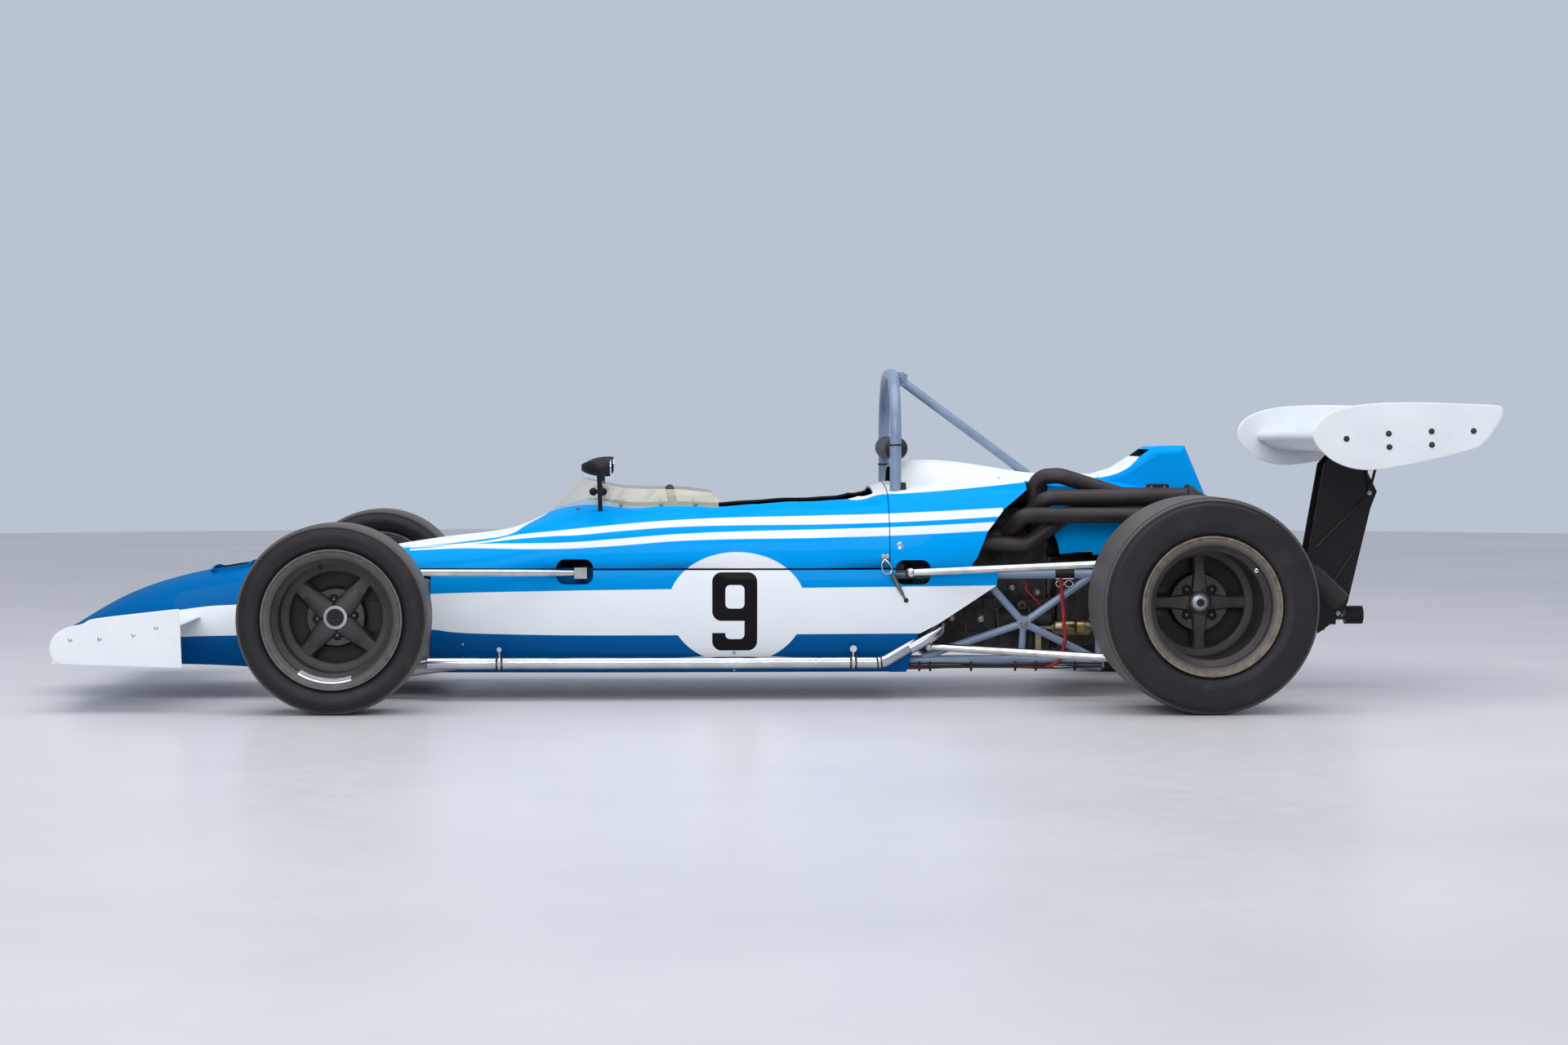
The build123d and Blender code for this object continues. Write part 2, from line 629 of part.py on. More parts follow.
# ---------------------------------------------------------------- steering
def make_steering():
    k = KINGPIN_Y
    with BuildPart() as rack:
        add(bar(p(-ARM, -FOOT_RAIL_Y - 70, RACK_Z), p(-ARM, FOOT_RAIL_Y + 70, RACK_Z), RACK_R))
        for side in (-1, 1):
            start = side * (FOOT_RAIL_Y + 62)
            add(bar(p(-ARM, start, RACK_Z), p(-ARM, side * (FOOT_RAIL_Y + 84), RACK_Z), RACK_R + 5))
            add(bar(p(-ARM, start, RACK_Z), p(-ARM, side * (k - 14), RACK_Z), 7))
            add(link_eye(-ARM, side * k, RACK_Z, 15, 12, EYE_BORE_R))
            with BuildSketch(Plane.XY.offset(RACK_Z - 20)):
                with Locations((at(-ARM), side * k)):
                    Circle(EYE_BORE_R)
            extrude(amount=40, mode=Mode.SUBTRACT)
    write("rack", rack.part)

    with BuildPart() as shaft:
        add(bar(column_point(RACK_R + 6), column_point(COLUMN_LENGTH - 8), COLUMN_R))
    write("steering_shaft", shaft.part)

    hub = Plane(origin=column_point(COLUMN_LENGTH), z_dir=COLUMN_DIR, x_dir=(0, 1, 0))
    with BuildPart() as wheel:
        add(Solid.make_torus(STEERING_WHEEL_R, 13, hub))
        with BuildSketch(hub.offset(-3)):
            Circle(34)
            for turn in (90, 210, 330):
                with PolarLocations(STEERING_WHEEL_R / 2, 1, start_angle=turn):
                    Rectangle(STEERING_WHEEL_R, 26)
        extrude(amount=6)
        with BuildSketch(hub.offset(-3)):
            with PolarLocations(78, 3, start_angle=90):
                Circle(9)
        extrude(amount=6, mode=Mode.SUBTRACT)
        with BuildSketch(hub.offset(-8 + GAP)):
            Circle(26)
        extrude(amount=22)
    write("steering_wheel", wheel.part)

    for name, side in SIDES.items():
        with BuildPart() as knuckle:
            y = side * k
            axle = FRONT_TYRE_R
            # waisted upright between the two pins
            with BuildSketch(Plane(origin=(at(0), y, 0), x_dir=(1, 0, 0), z_dir=(0, -1, 0))):
                with BuildLine():
                    half = 24
                    Polyline(
                        (-16, BALL_LOW_Z + 12),
                        (16, BALL_LOW_Z + 12),
                        (half, axle - 30),
                        (half, axle + 30),
                        (16, BALL_TOP_Z - 12),
                        (-16, BALL_TOP_Z - 12),
                        (-half, axle + 30),
                        (-half, axle - 30),
                        close=True,
                    )
                make_face()
            extrude(amount=12, both=True)
            boss_in = side * (k - 14)
            boss_out = side * (DISC_Y - 4 - GAP)
            add(bar((at(0), boss_in, axle), (at(0), boss_out, axle), 34))
            add(bar((at(0), boss_in, axle), (at(0), side * (HUB_FACE + WEB_T + 6), axle), STUBAXLE_R))
            for low, high in ((BALL_LOW_Z - 20, BALL_LOW_Z + 14), (BALL_TOP_Z - 14, BALL_TOP_Z + 20)):
                add(bar((at(0), y, low), (at(0), y, high), PIN_R))
            add(bar((at(0), y, BALL_LOW_Z - 20), (at(0), y, BALL_LOW_Z - LINK_EYE_T / 2 - GAP), 13))
            add(bar((at(0), y, BALL_TOP_Z + LINK_EYE_T / 2 + GAP), (at(0), y, BALL_TOP_Z + 20), 13))
            # steering arm ahead of the axle, over the tie rod's eye
            under = RACK_Z + 6 + 1
            with BuildSketch(Plane.XY.offset(under)):
                with BuildLine():
                    Polyline(
                        (at(4), y - 14),
                        (at(4), y + 14),
                        (at(-ARM - 4), y + 10),
                        (at(-ARM - 4), y - 10),
                        close=True,
                    )
                make_face()
            extrude(amount=12)
            add(bar((at(-ARM), y, under - 18), (at(-ARM), y, under + 2), ARM_PIN_R))
            # caliper behind the axle, around the disc's edge
            for inner, outer in ((DISC_Y - 16, DISC_Y - 3), (DISC_Y + DISC_T + 3, DISC_Y + DISC_T + 9)):
                low_y, high_y = sorted((side * inner, side * outer))
                add(block((at(84), low_y, axle - 40), (at(124), high_y, axle + 40)))
            low_y, high_y = sorted((side * (DISC_Y - 16), side * (DISC_Y + DISC_T + 9)))
            bridge = block((at(110), low_y, axle - 36), (at(136), high_y, axle + 36))
            clear = bar((at(0), side * (DISC_Y - 3), axle), (at(0), side * (DISC_Y + DISC_T + 3), axle), DISC_R + 3)
            within = bar((at(0), side * 500, axle), (at(0), side * 700, axle), 136)
            add((bridge - clear) & within)
            low_y, high_y = sorted((side * (k - 10), side * (DISC_Y - 10)))
            add(block((at(10), low_y, axle - 20), (at(90), high_y, axle + 20)))
        write(f"knuckle_{name}", knuckle.part)


# ---------------------------------------------------------------- wheels
def around(x, axle_z):
    """Sketch plane through a wheel's axis: local x is Y and local y the radius."""
    return Plane(origin=(x, 0, axle_z), x_dir=(0, 1, 0), z_dir=(1, 0, 0))


def wheel_axis(x, axle_z):
    return Axis((x, 0, axle_z), (0, 1, 0))


def spun(points, x, axle_z):
    """Body of revolution about a wheel's axis from (y, radius) points."""
    with BuildPart() as made:
        with BuildSketch(around(x, axle_z)):
            with BuildLine():
                Polyline(*points, close=True)
            make_face()
        revolve(axis=wheel_axis(x, axle_z))
    return made.part


def make_wheel(corner, side, x, tyre_r, tyre_w, tyre_out, phase, hub_depth):
    """Tyre, cast rim and hub of one corner, made at the left and mirrored for the right."""
    inner = tyre_out - tyre_w
    rim_out = tyre_out - RIM_INSET
    rim_in = inner + RIM_INSET
    bead = RIM_BEAD_R + GAP
    shoulder = 22
    tyre = spun(
        [
            (-(rim_in + LIP_T + GAP), bead),
            (-(rim_in + LIP_T + GAP), RIM_LIP_R + 4),
            (-inner, RIM_LIP_R + 22),
            (-(inner + 6), tyre_r - 24),
            (-(inner + shoulder + 8), tyre_r),
            (-(tyre_out - shoulder - 8), tyre_r),
            (-(tyre_out - 6), tyre_r - 24),
            (-tyre_out, RIM_LIP_R + 22),
            (-(rim_out - LIP_T - GAP), RIM_LIP_R + 4),
            (-(rim_out - LIP_T - GAP), bead),
        ],
        x,
        tyre_r,
    )
    drop = 14
    outer_line = [
        (rim_in, RIM_LIP_R),
        (rim_in + LIP_T, RIM_LIP_R),
        (rim_in + LIP_T, RIM_BEAD_R),
        (rim_in + LIP_T + SEAT_W, RIM_BEAD_R),
        (rim_in + LIP_T + SEAT_W + drop, RIM_WELL_R),
        (rim_out - LIP_T - SEAT_W - drop, RIM_WELL_R),
        (rim_out - LIP_T - SEAT_W, RIM_BEAD_R),
        (rim_out - LIP_T, RIM_BEAD_R),
        (rim_out - LIP_T, RIM_LIP_R),
        (rim_out, RIM_LIP_R),
    ]
    wall = RIM_BEAD_R - RIM_WALL
    inner_line = [
        (rim_out, RIM_LIP_R - 4),
        (rim_out - 5, RIM_LIP_R - 8),
        (rim_out - LIP_T, wall),
        (rim_out - LIP_T - SEAT_W + 2, wall),
        (rim_out - LIP_T - SEAT_W - drop + 2, RIM_WELL_R - RIM_WALL),
        (rim_in + LIP_T + SEAT_W + drop - 2, RIM_WELL_R - RIM_WALL),
        (rim_in + LIP_T + SEAT_W - 2, wall),
        (rim_in + LIP_T, wall),
        (rim_in + 5, RIM_LIP_R - 8),
        (rim_in, RIM_LIP_R - 4),
    ]
    face = Plane(origin=(x, -HUB_FACE - GAP, tyre_r), x_dir=(1, 0, 0), z_dir=(0, -1, 0))
    # one window between two spokes: its corners lie at half a spoke from the spokes' centre lines
    reach = RIM_WELL_R - RIM_WALL - 5
    corners = []
    for radius in (WINDOW_R, reach):
        along = (radius**2 - SPOKE_HALF**2) ** 0.5
        corners.append(((along + SPOKE_HALF) * 0.5**0.5, (along - SPOKE_HALF) * 0.5**0.5))
    (x_in, y_in), (x_out, y_out) = corners
    with BuildSketch() as window:
        with BuildLine():
            ThreePointArc((x_out, -y_out), (reach, 0), (x_out, y_out))
            Line((x_out, y_out), (x_in, y_in))
            ThreePointArc((x_in, y_in), (WINDOW_R, 0), (x_in, -y_in))
            Line((x_in, -y_in), (x_out, -y_out))
        make_face()
        fillet(window.vertices(), 11)
    with BuildPart() as rim:
        add(spun([(-y, r) for y, r in outer_line + inner_line], x, tyre_r))
        # web from the hub to the barrel, with four windows between four spokes
        with BuildSketch(face):
            Circle(RIM_WELL_R - RIM_WALL + 2)
            Circle(SLEEVE_R + GAP, mode=Mode.SUBTRACT)
        extrude(amount=WEB_T)
        with BuildSketch(face):
            with PolarLocations(0, 4, start_angle=phase + 45):
                add(window.sketch)
        extrude(amount=WEB_T, mode=Mode.SUBTRACT)
        # recesses for the nuts, and their holes
        with BuildSketch(face.offset(10)):
            with PolarLocations(NUT_CIRCLE / 2, 4, start_angle=phase + 45):
                Circle(15)
        extrude(amount=WEB_T, mode=Mode.SUBTRACT)
        with BuildSketch(face):
            with PolarLocations(NUT_CIRCLE / 2, 4, start_angle=phase + 45):
                Circle(STUD_R + 0.5)
        extrude(amount=WEB_T, mode=Mode.SUBTRACT)
    with BuildPart() as hub:
        add(
            spun(
                [
                    (-DISC_Y, 44),
                    (-DISC_Y, DISC_R),
                    (-(DISC_Y + DISC_T), DISC_R),
                    (-(DISC_Y + DISC_T), 62),
                    (-HUB_FACE, 62),
                    (-HUB_FACE, SLEEVE_R),
                    (-(HUB_FACE + WEB_T + 10), SLEEVE_R),
                    (-(HUB_FACE + WEB_T + 14), SLEEVE_R - 4),
                    (-(HUB_FACE + WEB_T + 14), 0),
                    (-hub_depth, 0),
                    (-hub_depth, 44 if hub_depth > DISC_Y - 10 else HUB_SHAFT_R),
                ]
                + ([] if hub_depth > DISC_Y - 10 else [(-(DISC_Y - 4), HUB_SHAFT_R), (-(DISC_Y - 4), 44)]),
                x,
                tyre_r,
            )
        )
        with BuildSketch(face.offset(-4)):
            with PolarLocations(NUT_CIRCLE / 2, 4, start_angle=phase + 45):
                Circle(STUD_R)
        extrude(amount=WEB_T + 4)
        with BuildSketch(face.offset(10 + GAP)):
            with PolarLocations(NUT_CIRCLE / 2, 4, start_angle=phase + 45):
                RegularPolygon(11, 6)
        extrude(amount=12)
        if hub_depth > DISC_Y - 10:
            with BuildSketch(Plane(origin=(x, -hub_depth + 5, tyre_r), x_dir=(1, 0, 0), z_dir=(0, -1, 0))):
                Circle(STUBAXLE_R + RUN)
            extrude(amount=HUB_FACE + WEB_T + 8 - hub_depth + 5, mode=Mode.SUBTRACT)
    for kind, made in (("tyre", tyre), ("rim", rim.part), ("hub", hub.part)):
        write(f"{kind}_{corner}", made if side < 0 else mirrored(made))


def make_wheels():
    for name, side in SIDES.items():
        make_wheel(f"front_{name}", side, at(0), FRONT_TYRE_R, FRONT_TYRE_W, FRONT_TYRE_OUT, 50, DISC_Y - 4)
        make_wheel(f"rear_{name}", side, at(WHEELBASE), REAR_TYRE_R, REAR_TYRE_W, REAR_TYRE_OUT, 0, UPRIGHT_IN - 6)


# ---------------------------------------------------------------- rear suspension and drive
UPRIGHT_IN = 500
UPRIGHT_OUT = 530
UPRIGHT_TOP = 402
UPRIGHT_LOW = 122
OUTPUT_Y = 150
LOWER_PIVOT = (2300, 62, 118)
TOP_PIVOT = (2270, 120, 400)
DAMPER_TOP_Z = 422


def make_rear_suspension():
    axle = REAR_TYRE_R
    x0 = WHEELBASE
    with BuildPart() as uprights:
        for side in (-1, 1):
            outline = [
                (x0 - 70, UPRIGHT_LOW - 14),
                (x0 + 70, UPRIGHT_LOW - 14),
                (x0 + 72, UPRIGHT_LOW + 16),
                (x0 + 52, axle - 20),
                (x0 + 48, axle + 36),
                (x0 + 16, UPRIGHT_TOP + 14),
                (x0 - 26, UPRIGHT_TOP + 14),
                (x0 - 48, axle + 36),
                (x0 - 52, axle - 20),
                (x0 - 72, UPRIGHT_LOW + 16),
            ]
            low, high = sorted((side * UPRIGHT_IN, side * UPRIGHT_OUT))
            add(slab(outline, low, high))
            add(bar((at(x0), side * UPRIGHT_IN, axle), (at(x0), side * (DISC_Y - 4 - GAP), axle), 46))
            for inner, outer in ((DISC_Y - 16, DISC_Y - 3), (DISC_Y + DISC_T + 3, DISC_Y + DISC_T + 9)):
                low_y, high_y = sorted((side * inner, side * outer))
                add(block((at(x0 - 124), low_y, axle - 40), (at(x0 - 84), high_y, axle + 40)))
            low_y, high_y = sorted((side * (DISC_Y - 16), side * (DISC_Y + DISC_T + 9)))
            bridge = block((at(x0 - 136), low_y, axle - 36), (at(x0 - 110), high_y, axle + 36))
            clear = bar((at(x0), side * (DISC_Y - 3), axle), (at(x0), side * (DISC_Y + DISC_T + 3), axle), DISC_R + 3)
            within = bar((at(x0), side * 500, axle), (at(x0), side * 700, axle), 136)
            add((bridge - clear) & within)
            low_y, high_y = sorted((side * (DISC_Y - 14), side * (DISC_Y - 40)))
            add(block((at(x0 - 90), low_y, axle - 20), (at(x0 - 10), high_y, axle + 20)))
            add(
                bar((at(x0), side * 400, axle), (at(x0), side * 640, axle), HUB_SHAFT_R + RUN),
                mode=Mode.SUBTRACT,
            )
    write("rear_uprights", uprights.part)

    with BuildPart() as links:
        for side in (-1, 1):
            seat = UPRIGHT_IN - 12 - GAP
            foot = p(LOWER_PIVOT[0], side * LOWER_PIVOT[1], LOWER_PIVOT[2])
            for x in (x0 - 34, x0 + 58):
                eye = p(x, side * seat, UPRIGHT_LOW)
                add(bar(foot, eye, ROD_R))
                add(Solid.make_sphere(12, Plane(origin=eye)))
            add(Solid.make_sphere(15, Plane(origin=foot)))
            hip = p(TOP_PIVOT[0], side * TOP_PIVOT[1], TOP_PIVOT[2])
            eye = p(x0, side * seat, UPRIGHT_TOP)
            add(bar(hip, eye, ROD_R))
            add(Solid.make_sphere(12, Plane(origin=eye)))
            add(Solid.make_sphere(14, Plane(origin=hip)))
    write("rear_links", links.part)

    # radius rods: behind axle, y, z at the body and at the upright, and the radius of the tube that carries the lug
    rod_end = ROD_R + 4
    seat = UPRIGHT_IN - rod_end - GAP
    rods_table = [
        ((1532, 356, 347), (x0 - 26, seat, 384), FRAME_R),
        ((1585, 322, 142), (x0 - 66, seat, 112), BRACE_R),
    ]
    with BuildPart() as rods:
        for side in (-1, 1):
            for front, rear, tube in rods_table:
                a = p(front[0], side * front[1], front[2])
                b = p(rear[0], side * rear[1], rear[2])
                add(bar(a, b, ROD_R))
                for end in (a, b):
                    add(Solid.make_sphere(rod_end, Plane(origin=end)))
                low, high = sorted((side * (RAIL_Y + tube + GAP), side * (front[1] + 4)))
                add(block(p(front[0] - 9, low, front[2] - 9), p(front[0] + 9, high, front[2] + 9)))
    write("radius_rods", rods.part)

    with BuildPart() as dampers:
        for side in (-1, 1):
            low = p(x0 + 98, side * 452, 152)
            top = p(x0 + 98, side * 206, DAMPER_TOP_Z)
            add(coil_over(low, top, 31))
    write("rear_dampers", dampers.part)

    for name, side in SIDES.items():
        with BuildPart() as shaft:
            start = side * (OUTPUT_Y + GAP)
            end = side * (UPRIGHT_IN - 6 - 2 * GAP)
            add(bar((at(x0), start, axle), (at(x0), end, axle), HALF_SHAFT_R))
            for a, b, radius in (
                (OUTPUT_Y + GAP, OUTPUT_Y + 16, 40),
                (OUTPUT_Y + 16, OUTPUT_Y + 52, 24),
                (UPRIGHT_IN - 60, UPRIGHT_IN - 24, 24),
                (UPRIGHT_IN - 24, UPRIGHT_IN - 6 - GAP, 36),
            ):
                add(bar((at(x0), side * a, axle), (at(x0), side * b, axle), radius))
        write(f"half_shaft_{name}", shaft.part)


# ---------------------------------------------------------------- cockpit
SEAT_HALF = 188
SEAT_BACK = ((at(1190), 132), (at(1292), 250), (at(1385), 500))  # three points of the backrest's arc
STRAP_W = 46
STRAP_T = 4


def nearer(points, distance):
    """Three points of an arc, moved towards its centre."""
    centre = ThreePointArc(*points, mode=Mode.PRIVATE).arc_center
    return [Vector(*q) + (centre - Vector(*q)).normalized() * distance for q in points]


DASH_X = 668


def make_cockpit():
    floor = FLOOR_Z + FLOOR_T + GAP
    with BuildPart() as seat:
        with BuildSketch(sidewise(SEAT_HALF)):
            with BuildLine():
                a, b = (at(960), 168), (at(1040), 150)
                c, middle, d = SEAT_BACK
                Line(a, b)
                ThreePointArc(b, (at(1120), 136), c)
                ThreePointArc(c, middle, d)
                Line(d, (at(BULKHEAD - 22), 505))
                Line((at(BULKHEAD - 22), 505), (at(BULKHEAD - 22), 480))
                Line((at(BULKHEAD - 22), 480), (at(1410), 480))
                ThreePointArc((at(1410), 480), (at(1318), 235), (at(1210), floor))
                Line((at(1210), floor), (at(950), floor))
                Line((at(950), floor), a)
            make_face()
        extrude(amount=2 * SEAT_HALF)
        # side bolsters, low at the thighs and high at the ribs
        for side in (-1, 1):
            with BuildSketch(sidewise(side * SEAT_HALF + 16)):
                with BuildLine():
                    Line((at(960), floor), (at(1240), floor))
                    ThreePointArc((at(1240), floor), (at(1340), 270), (at(1418), 480))
                    Line((at(1418), 480), (at(1370), 488))
                    ThreePointArc((at(1370), 488), (at(1180), 262), (at(960), 205))
                    Line((at(960), 205), (at(960), floor))
                make_face()
            extrude(amount=32)
    write("seat", seat.part)

    with BuildPart() as dash:
        with BuildSketch(crosswise(at(DASH_X))):
            with Locations((0, 470)):
                Rectangle(600, 110)
        extrude(amount=4)
        add(shell_loft(COWL, SKIN + GAP, 12), mode=Mode.INTERSECT)
        # bearing of the steering column
        along = (DASH_X + ARM) / (STEERING_WHEEL[0] + ARM) * COLUMN_LENGTH
        add(bar(column_point(along - 14), column_point(along + 14), COLUMN_R + 9))
        add(block(p(DASH_X, -30, column_point(along)[2]), p(DASH_X + 4, 30, 430)))
        add(bar(column_point(along - 60), column_point(along + 60), COLUMN_R + RUN), mode=Mode.SUBTRACT)
    write("dash_panel", dash.part)

    with BuildPart() as lever:
        y = COCKPIT_HALF - GAP
        add(block(p(836, y - 12, 250), p(884, y, 300)))
        add(bar(p(860, y - 8, 290), p(850, y - 16, 392), 6))
        add(Solid.make_sphere(17, Plane(origin=p(849, y - 16.5, 402))))
    write("gear_lever", lever.part)

    # lap and shoulder straps laid on the seat, as plain bands
    with BuildPart() as straps:
        for side in (-1, 1):
            with BuildSketch(sidewise(side * 85 + STRAP_W / 2)):
                with BuildLine():
                    back = ThreePointArc(*nearer(SEAT_BACK, GAP))
                    front = ThreePointArc(*nearer(SEAT_BACK, GAP + STRAP_T))
                    Line(back @ 0, front @ 0)
                    Line(back @ 1, front @ 1)
                make_face()
            extrude(amount=STRAP_W)
    write("harness", straps.part)


# ---------------------------------------------------------------- roll hoop
PAD_R = 32
PAD_Z = 685
STAY_TOP = (1522, 884)
STAY_FOOT = (2150, 420)


def stay_line(behind):
    """Height of the stay's axis at a station."""
    slope = (STAY_FOOT[1] - STAY_TOP[1]) / (STAY_FOOT[0] - STAY_TOP[0])
    return STAY_TOP[1] + slope * (behind - STAY_TOP[0])


def hoop_tube(radius):
    top = HOOP_TOP - HOOP_R
    foot = RAIL_TOP_Z + FRAME_R + GAP
    points = [
        p(HOOP_X, -HOOP_HALF, foot),
        p(HOOP_X, -HOOP_HALF, top),
        p(HOOP_X, HOOP_HALF, top),
        p(HOOP_X, HOOP_HALF, foot),
    ]
    return pipe(points, radius, HOOP_BEND)


def make_roll_hoop():
    with BuildPart() as hoop:
        add(hoop_tube(HOOP_R))
        # lug of the stay, and feet
        lug_z = HOOP_TOP - HOOP_R
        for y in (-17, 11):
            add(block(p(HOOP_X + 8, y, lug_z - 20), p(HOOP_X + 40, y + 6, lug_z + 6)))
        add(bar(p(1529, -40, lug_z - 6), p(1529, 40, lug_z - 6), 5 + RUN), mode=Mode.SUBTRACT)
        for side in (-1, 1):
            add(
                bar(
                    p(HOOP_X, side * HOOP_HALF, RAIL_TOP_Z + FRAME_R + GAP),
                    p(HOOP_X, side * HOOP_HALF, RAIL_TOP_Z + FRAME_R + 12),
                    HOOP_R + 8,
                )
            )
    write("roll_hoop", hoop.part)

    with BuildPart() as stay:
        add(bar(p(1543, 0, stay_line(1543)), p(STAY_FOOT[0] - 10, 0, stay_line(STAY_FOOT[0] - 10)), STAY_R))
        add(block(p(1519, -10.7, lug_z - 34), p(1550, 10.7, lug_z + 2)))
        add(bar(p(1529, -26, lug_z - 6), p(1529, 26, lug_z - 6), 5))
        foot_z = stay_line(STAY_FOOT[0])
        add(block(p(STAY_FOOT[0] - 26, -14, BELL_TOP + GAP), p(STAY_FOOT[0] + 4, 14, foot_z + 12)))
    write("roll_stay", stay.part)

    with BuildPart() as pad:
        half = HOOP_HALF - HOOP_R - GAP
        with BuildSketch(sidewise(half)):
            with Locations((at(HOOP_X + 4), PAD_Z)):
                Circle(PAD_R)
        extrude(amount=2 * half)
        ends = pad.edges().filter_by(GeomType.CIRCLE)
        fillet(ends, 8)
    write("head_pad", pad.part)


# ---------------------------------------------------------------- engine cover
SCOOP_HALF = 122
SCOOP_WALL = 5


# side views of the engine cover as (behind axle, z): the cut-out over the exhaust, and what is cut from the narrow tail
CUTOUT = [(1702, 340), (1702, 371), (1714, 385), (1745, 458), (1794, 519), (1862, 571), (1864, 700), (2010, 700), (2010, 340)]
TAIL_EDGE = [
    (1790, 300), (1790, 700), (1922, 700), (1926, 575), (1945, 440), (1953, 424), (1959, 391),
    (2050, 400), (2053, 388), (2110, 393), (2200, 428), (2400, 446), (2400, 300),
]
SCOOP_SIDE = [(2060, 560), (2085, 610), (2142, 627), (2193, 659), (2227, 683), (2240, 689), (2326, 692), (2383, 556), (2383, 520), (2060, 520)]
SCOOP_HOLLOW = [(2205, 650), (2234, 681), (2321, 685), (2372, 560), (2372, 524), (2250, 524), (2240, 600)]
SCOOP_MOUTH = [(2188, 674), (2216, 694), (2244, 656), (2214, 637)]


def hump_loft(inset):
    """Hump over the engine, or its hollow when moved in by inset."""
    with BuildPart() as made:
        for x, half, crown in HUMP:
            w = half - inset
            z = crown - inset
            with BuildSketch(crosswise(at(x))):
                with BuildLine():
                    Line((-w, 560), (w, 560))
                    ThreePointArc((w, 560), (w * 0.8, z - 22), (w * 0.45, z - 5))
                    ThreePointArc((w * 0.45, z - 5), (0, z), (-w * 0.45, z - 5))
                    ThreePointArc((-w * 0.45, z - 5), (-w * 0.8, z - 22), (-w, 560))
                make_face()
        loft()
    return made.part


def make_engine_cover():
    with BuildPart() as front:
        add(shell_loft(COVER))
        add(slab(CUTOUT, -400, 400), mode=Mode.SUBTRACT)
        add(shell_loft(COVER, SKIN, 12), mode=Mode.SUBTRACT)
        add(block((at(SPLIT - 10), -400, 0), (at(2010), 400, SEAM_Z + SEAM_GAP)), mode=Mode.SUBTRACT)
    with BuildPart() as scoop:
        add(slab(SCOOP_SIDE, -SCOOP_HALF, SCOOP_HALF))
        corners = scoop.edges().filter_by(lambda e: e.center().Z > 615 and abs(e.center().Y) > SCOOP_HALF - 1)
        fillet(corners, 24)
    with BuildPart() as tail:
        add(shell_loft(TAIL))
        add(scoop.part)
        add(shell_loft(TAIL, SKIN, 30), mode=Mode.SUBTRACT)
        inner = SCOOP_HALF - SCOOP_WALL - 12
        add(slab(SCOOP_HOLLOW, -inner, inner), mode=Mode.SUBTRACT)
        add(slab(SCOOP_MOUTH, -inner, inner), mode=Mode.SUBTRACT)
        # the left side is open for the exhaust up to the shoulder, and the right side keeps its panel
        add(slab(TAIL_EDGE, -400, -150), mode=Mode.SUBTRACT)
        low_edge = slab([point for point in TAIL_EDGE if point[1] < 500], -150, 400)
        add(low_edge, mode=Mode.SUBTRACT)
    with BuildPart() as hump:
        add(hump_loft(0))
        add(shell_loft(COVER, SKIN, 12), mode=Mode.SUBTRACT)
    with BuildPart() as cover:
        add(front.part)
        add(tail.part)
        add(hump.part)
        add(hump_loft(SKIN), mode=Mode.SUBTRACT)
        for row in SIDE_HOLES:
            add(side_hole(row), mode=Mode.SUBTRACT)
        for side in (-1, 1):
            leg = bar(p(HOOP_X, side * HOOP_HALF, 400), p(HOOP_X, side * HOOP_HALF, 800), HOOP_R + 1.5)
            add(leg, mode=Mode.SUBTRACT)
        add(bar(p(1600, 0, stay_line(1600)), p(2300, 0, stay_line(2300)), STAY_R + 4), mode=Mode.SUBTRACT)
        add(block((at(SPLIT - 20), -400, 0), (at(SPLIT) + GAP, 400, 800)), mode=Mode.SUBTRACT)
    kept = cover.part.solids().sort_by(SortBy.VOLUME)[-1]
    write("engine_cover", kept)


# ---------------------------------------------------------------- engine and gearbox
ENGINE = (1540, 1960)
SUMP_Z = RAIL_LOW_Z + FRAME_R + GAP
BELL_TOP = 392
# bell housing's two sections: behind axle, half width, z of the middle, half height
BELL = [(1990, 150, 250, 140), (2110, 108, 262, 120)]
BORES = 4
BORE_PITCH = 92
PORT_X = 1640  # first exhaust port
HEAD_Z = 400


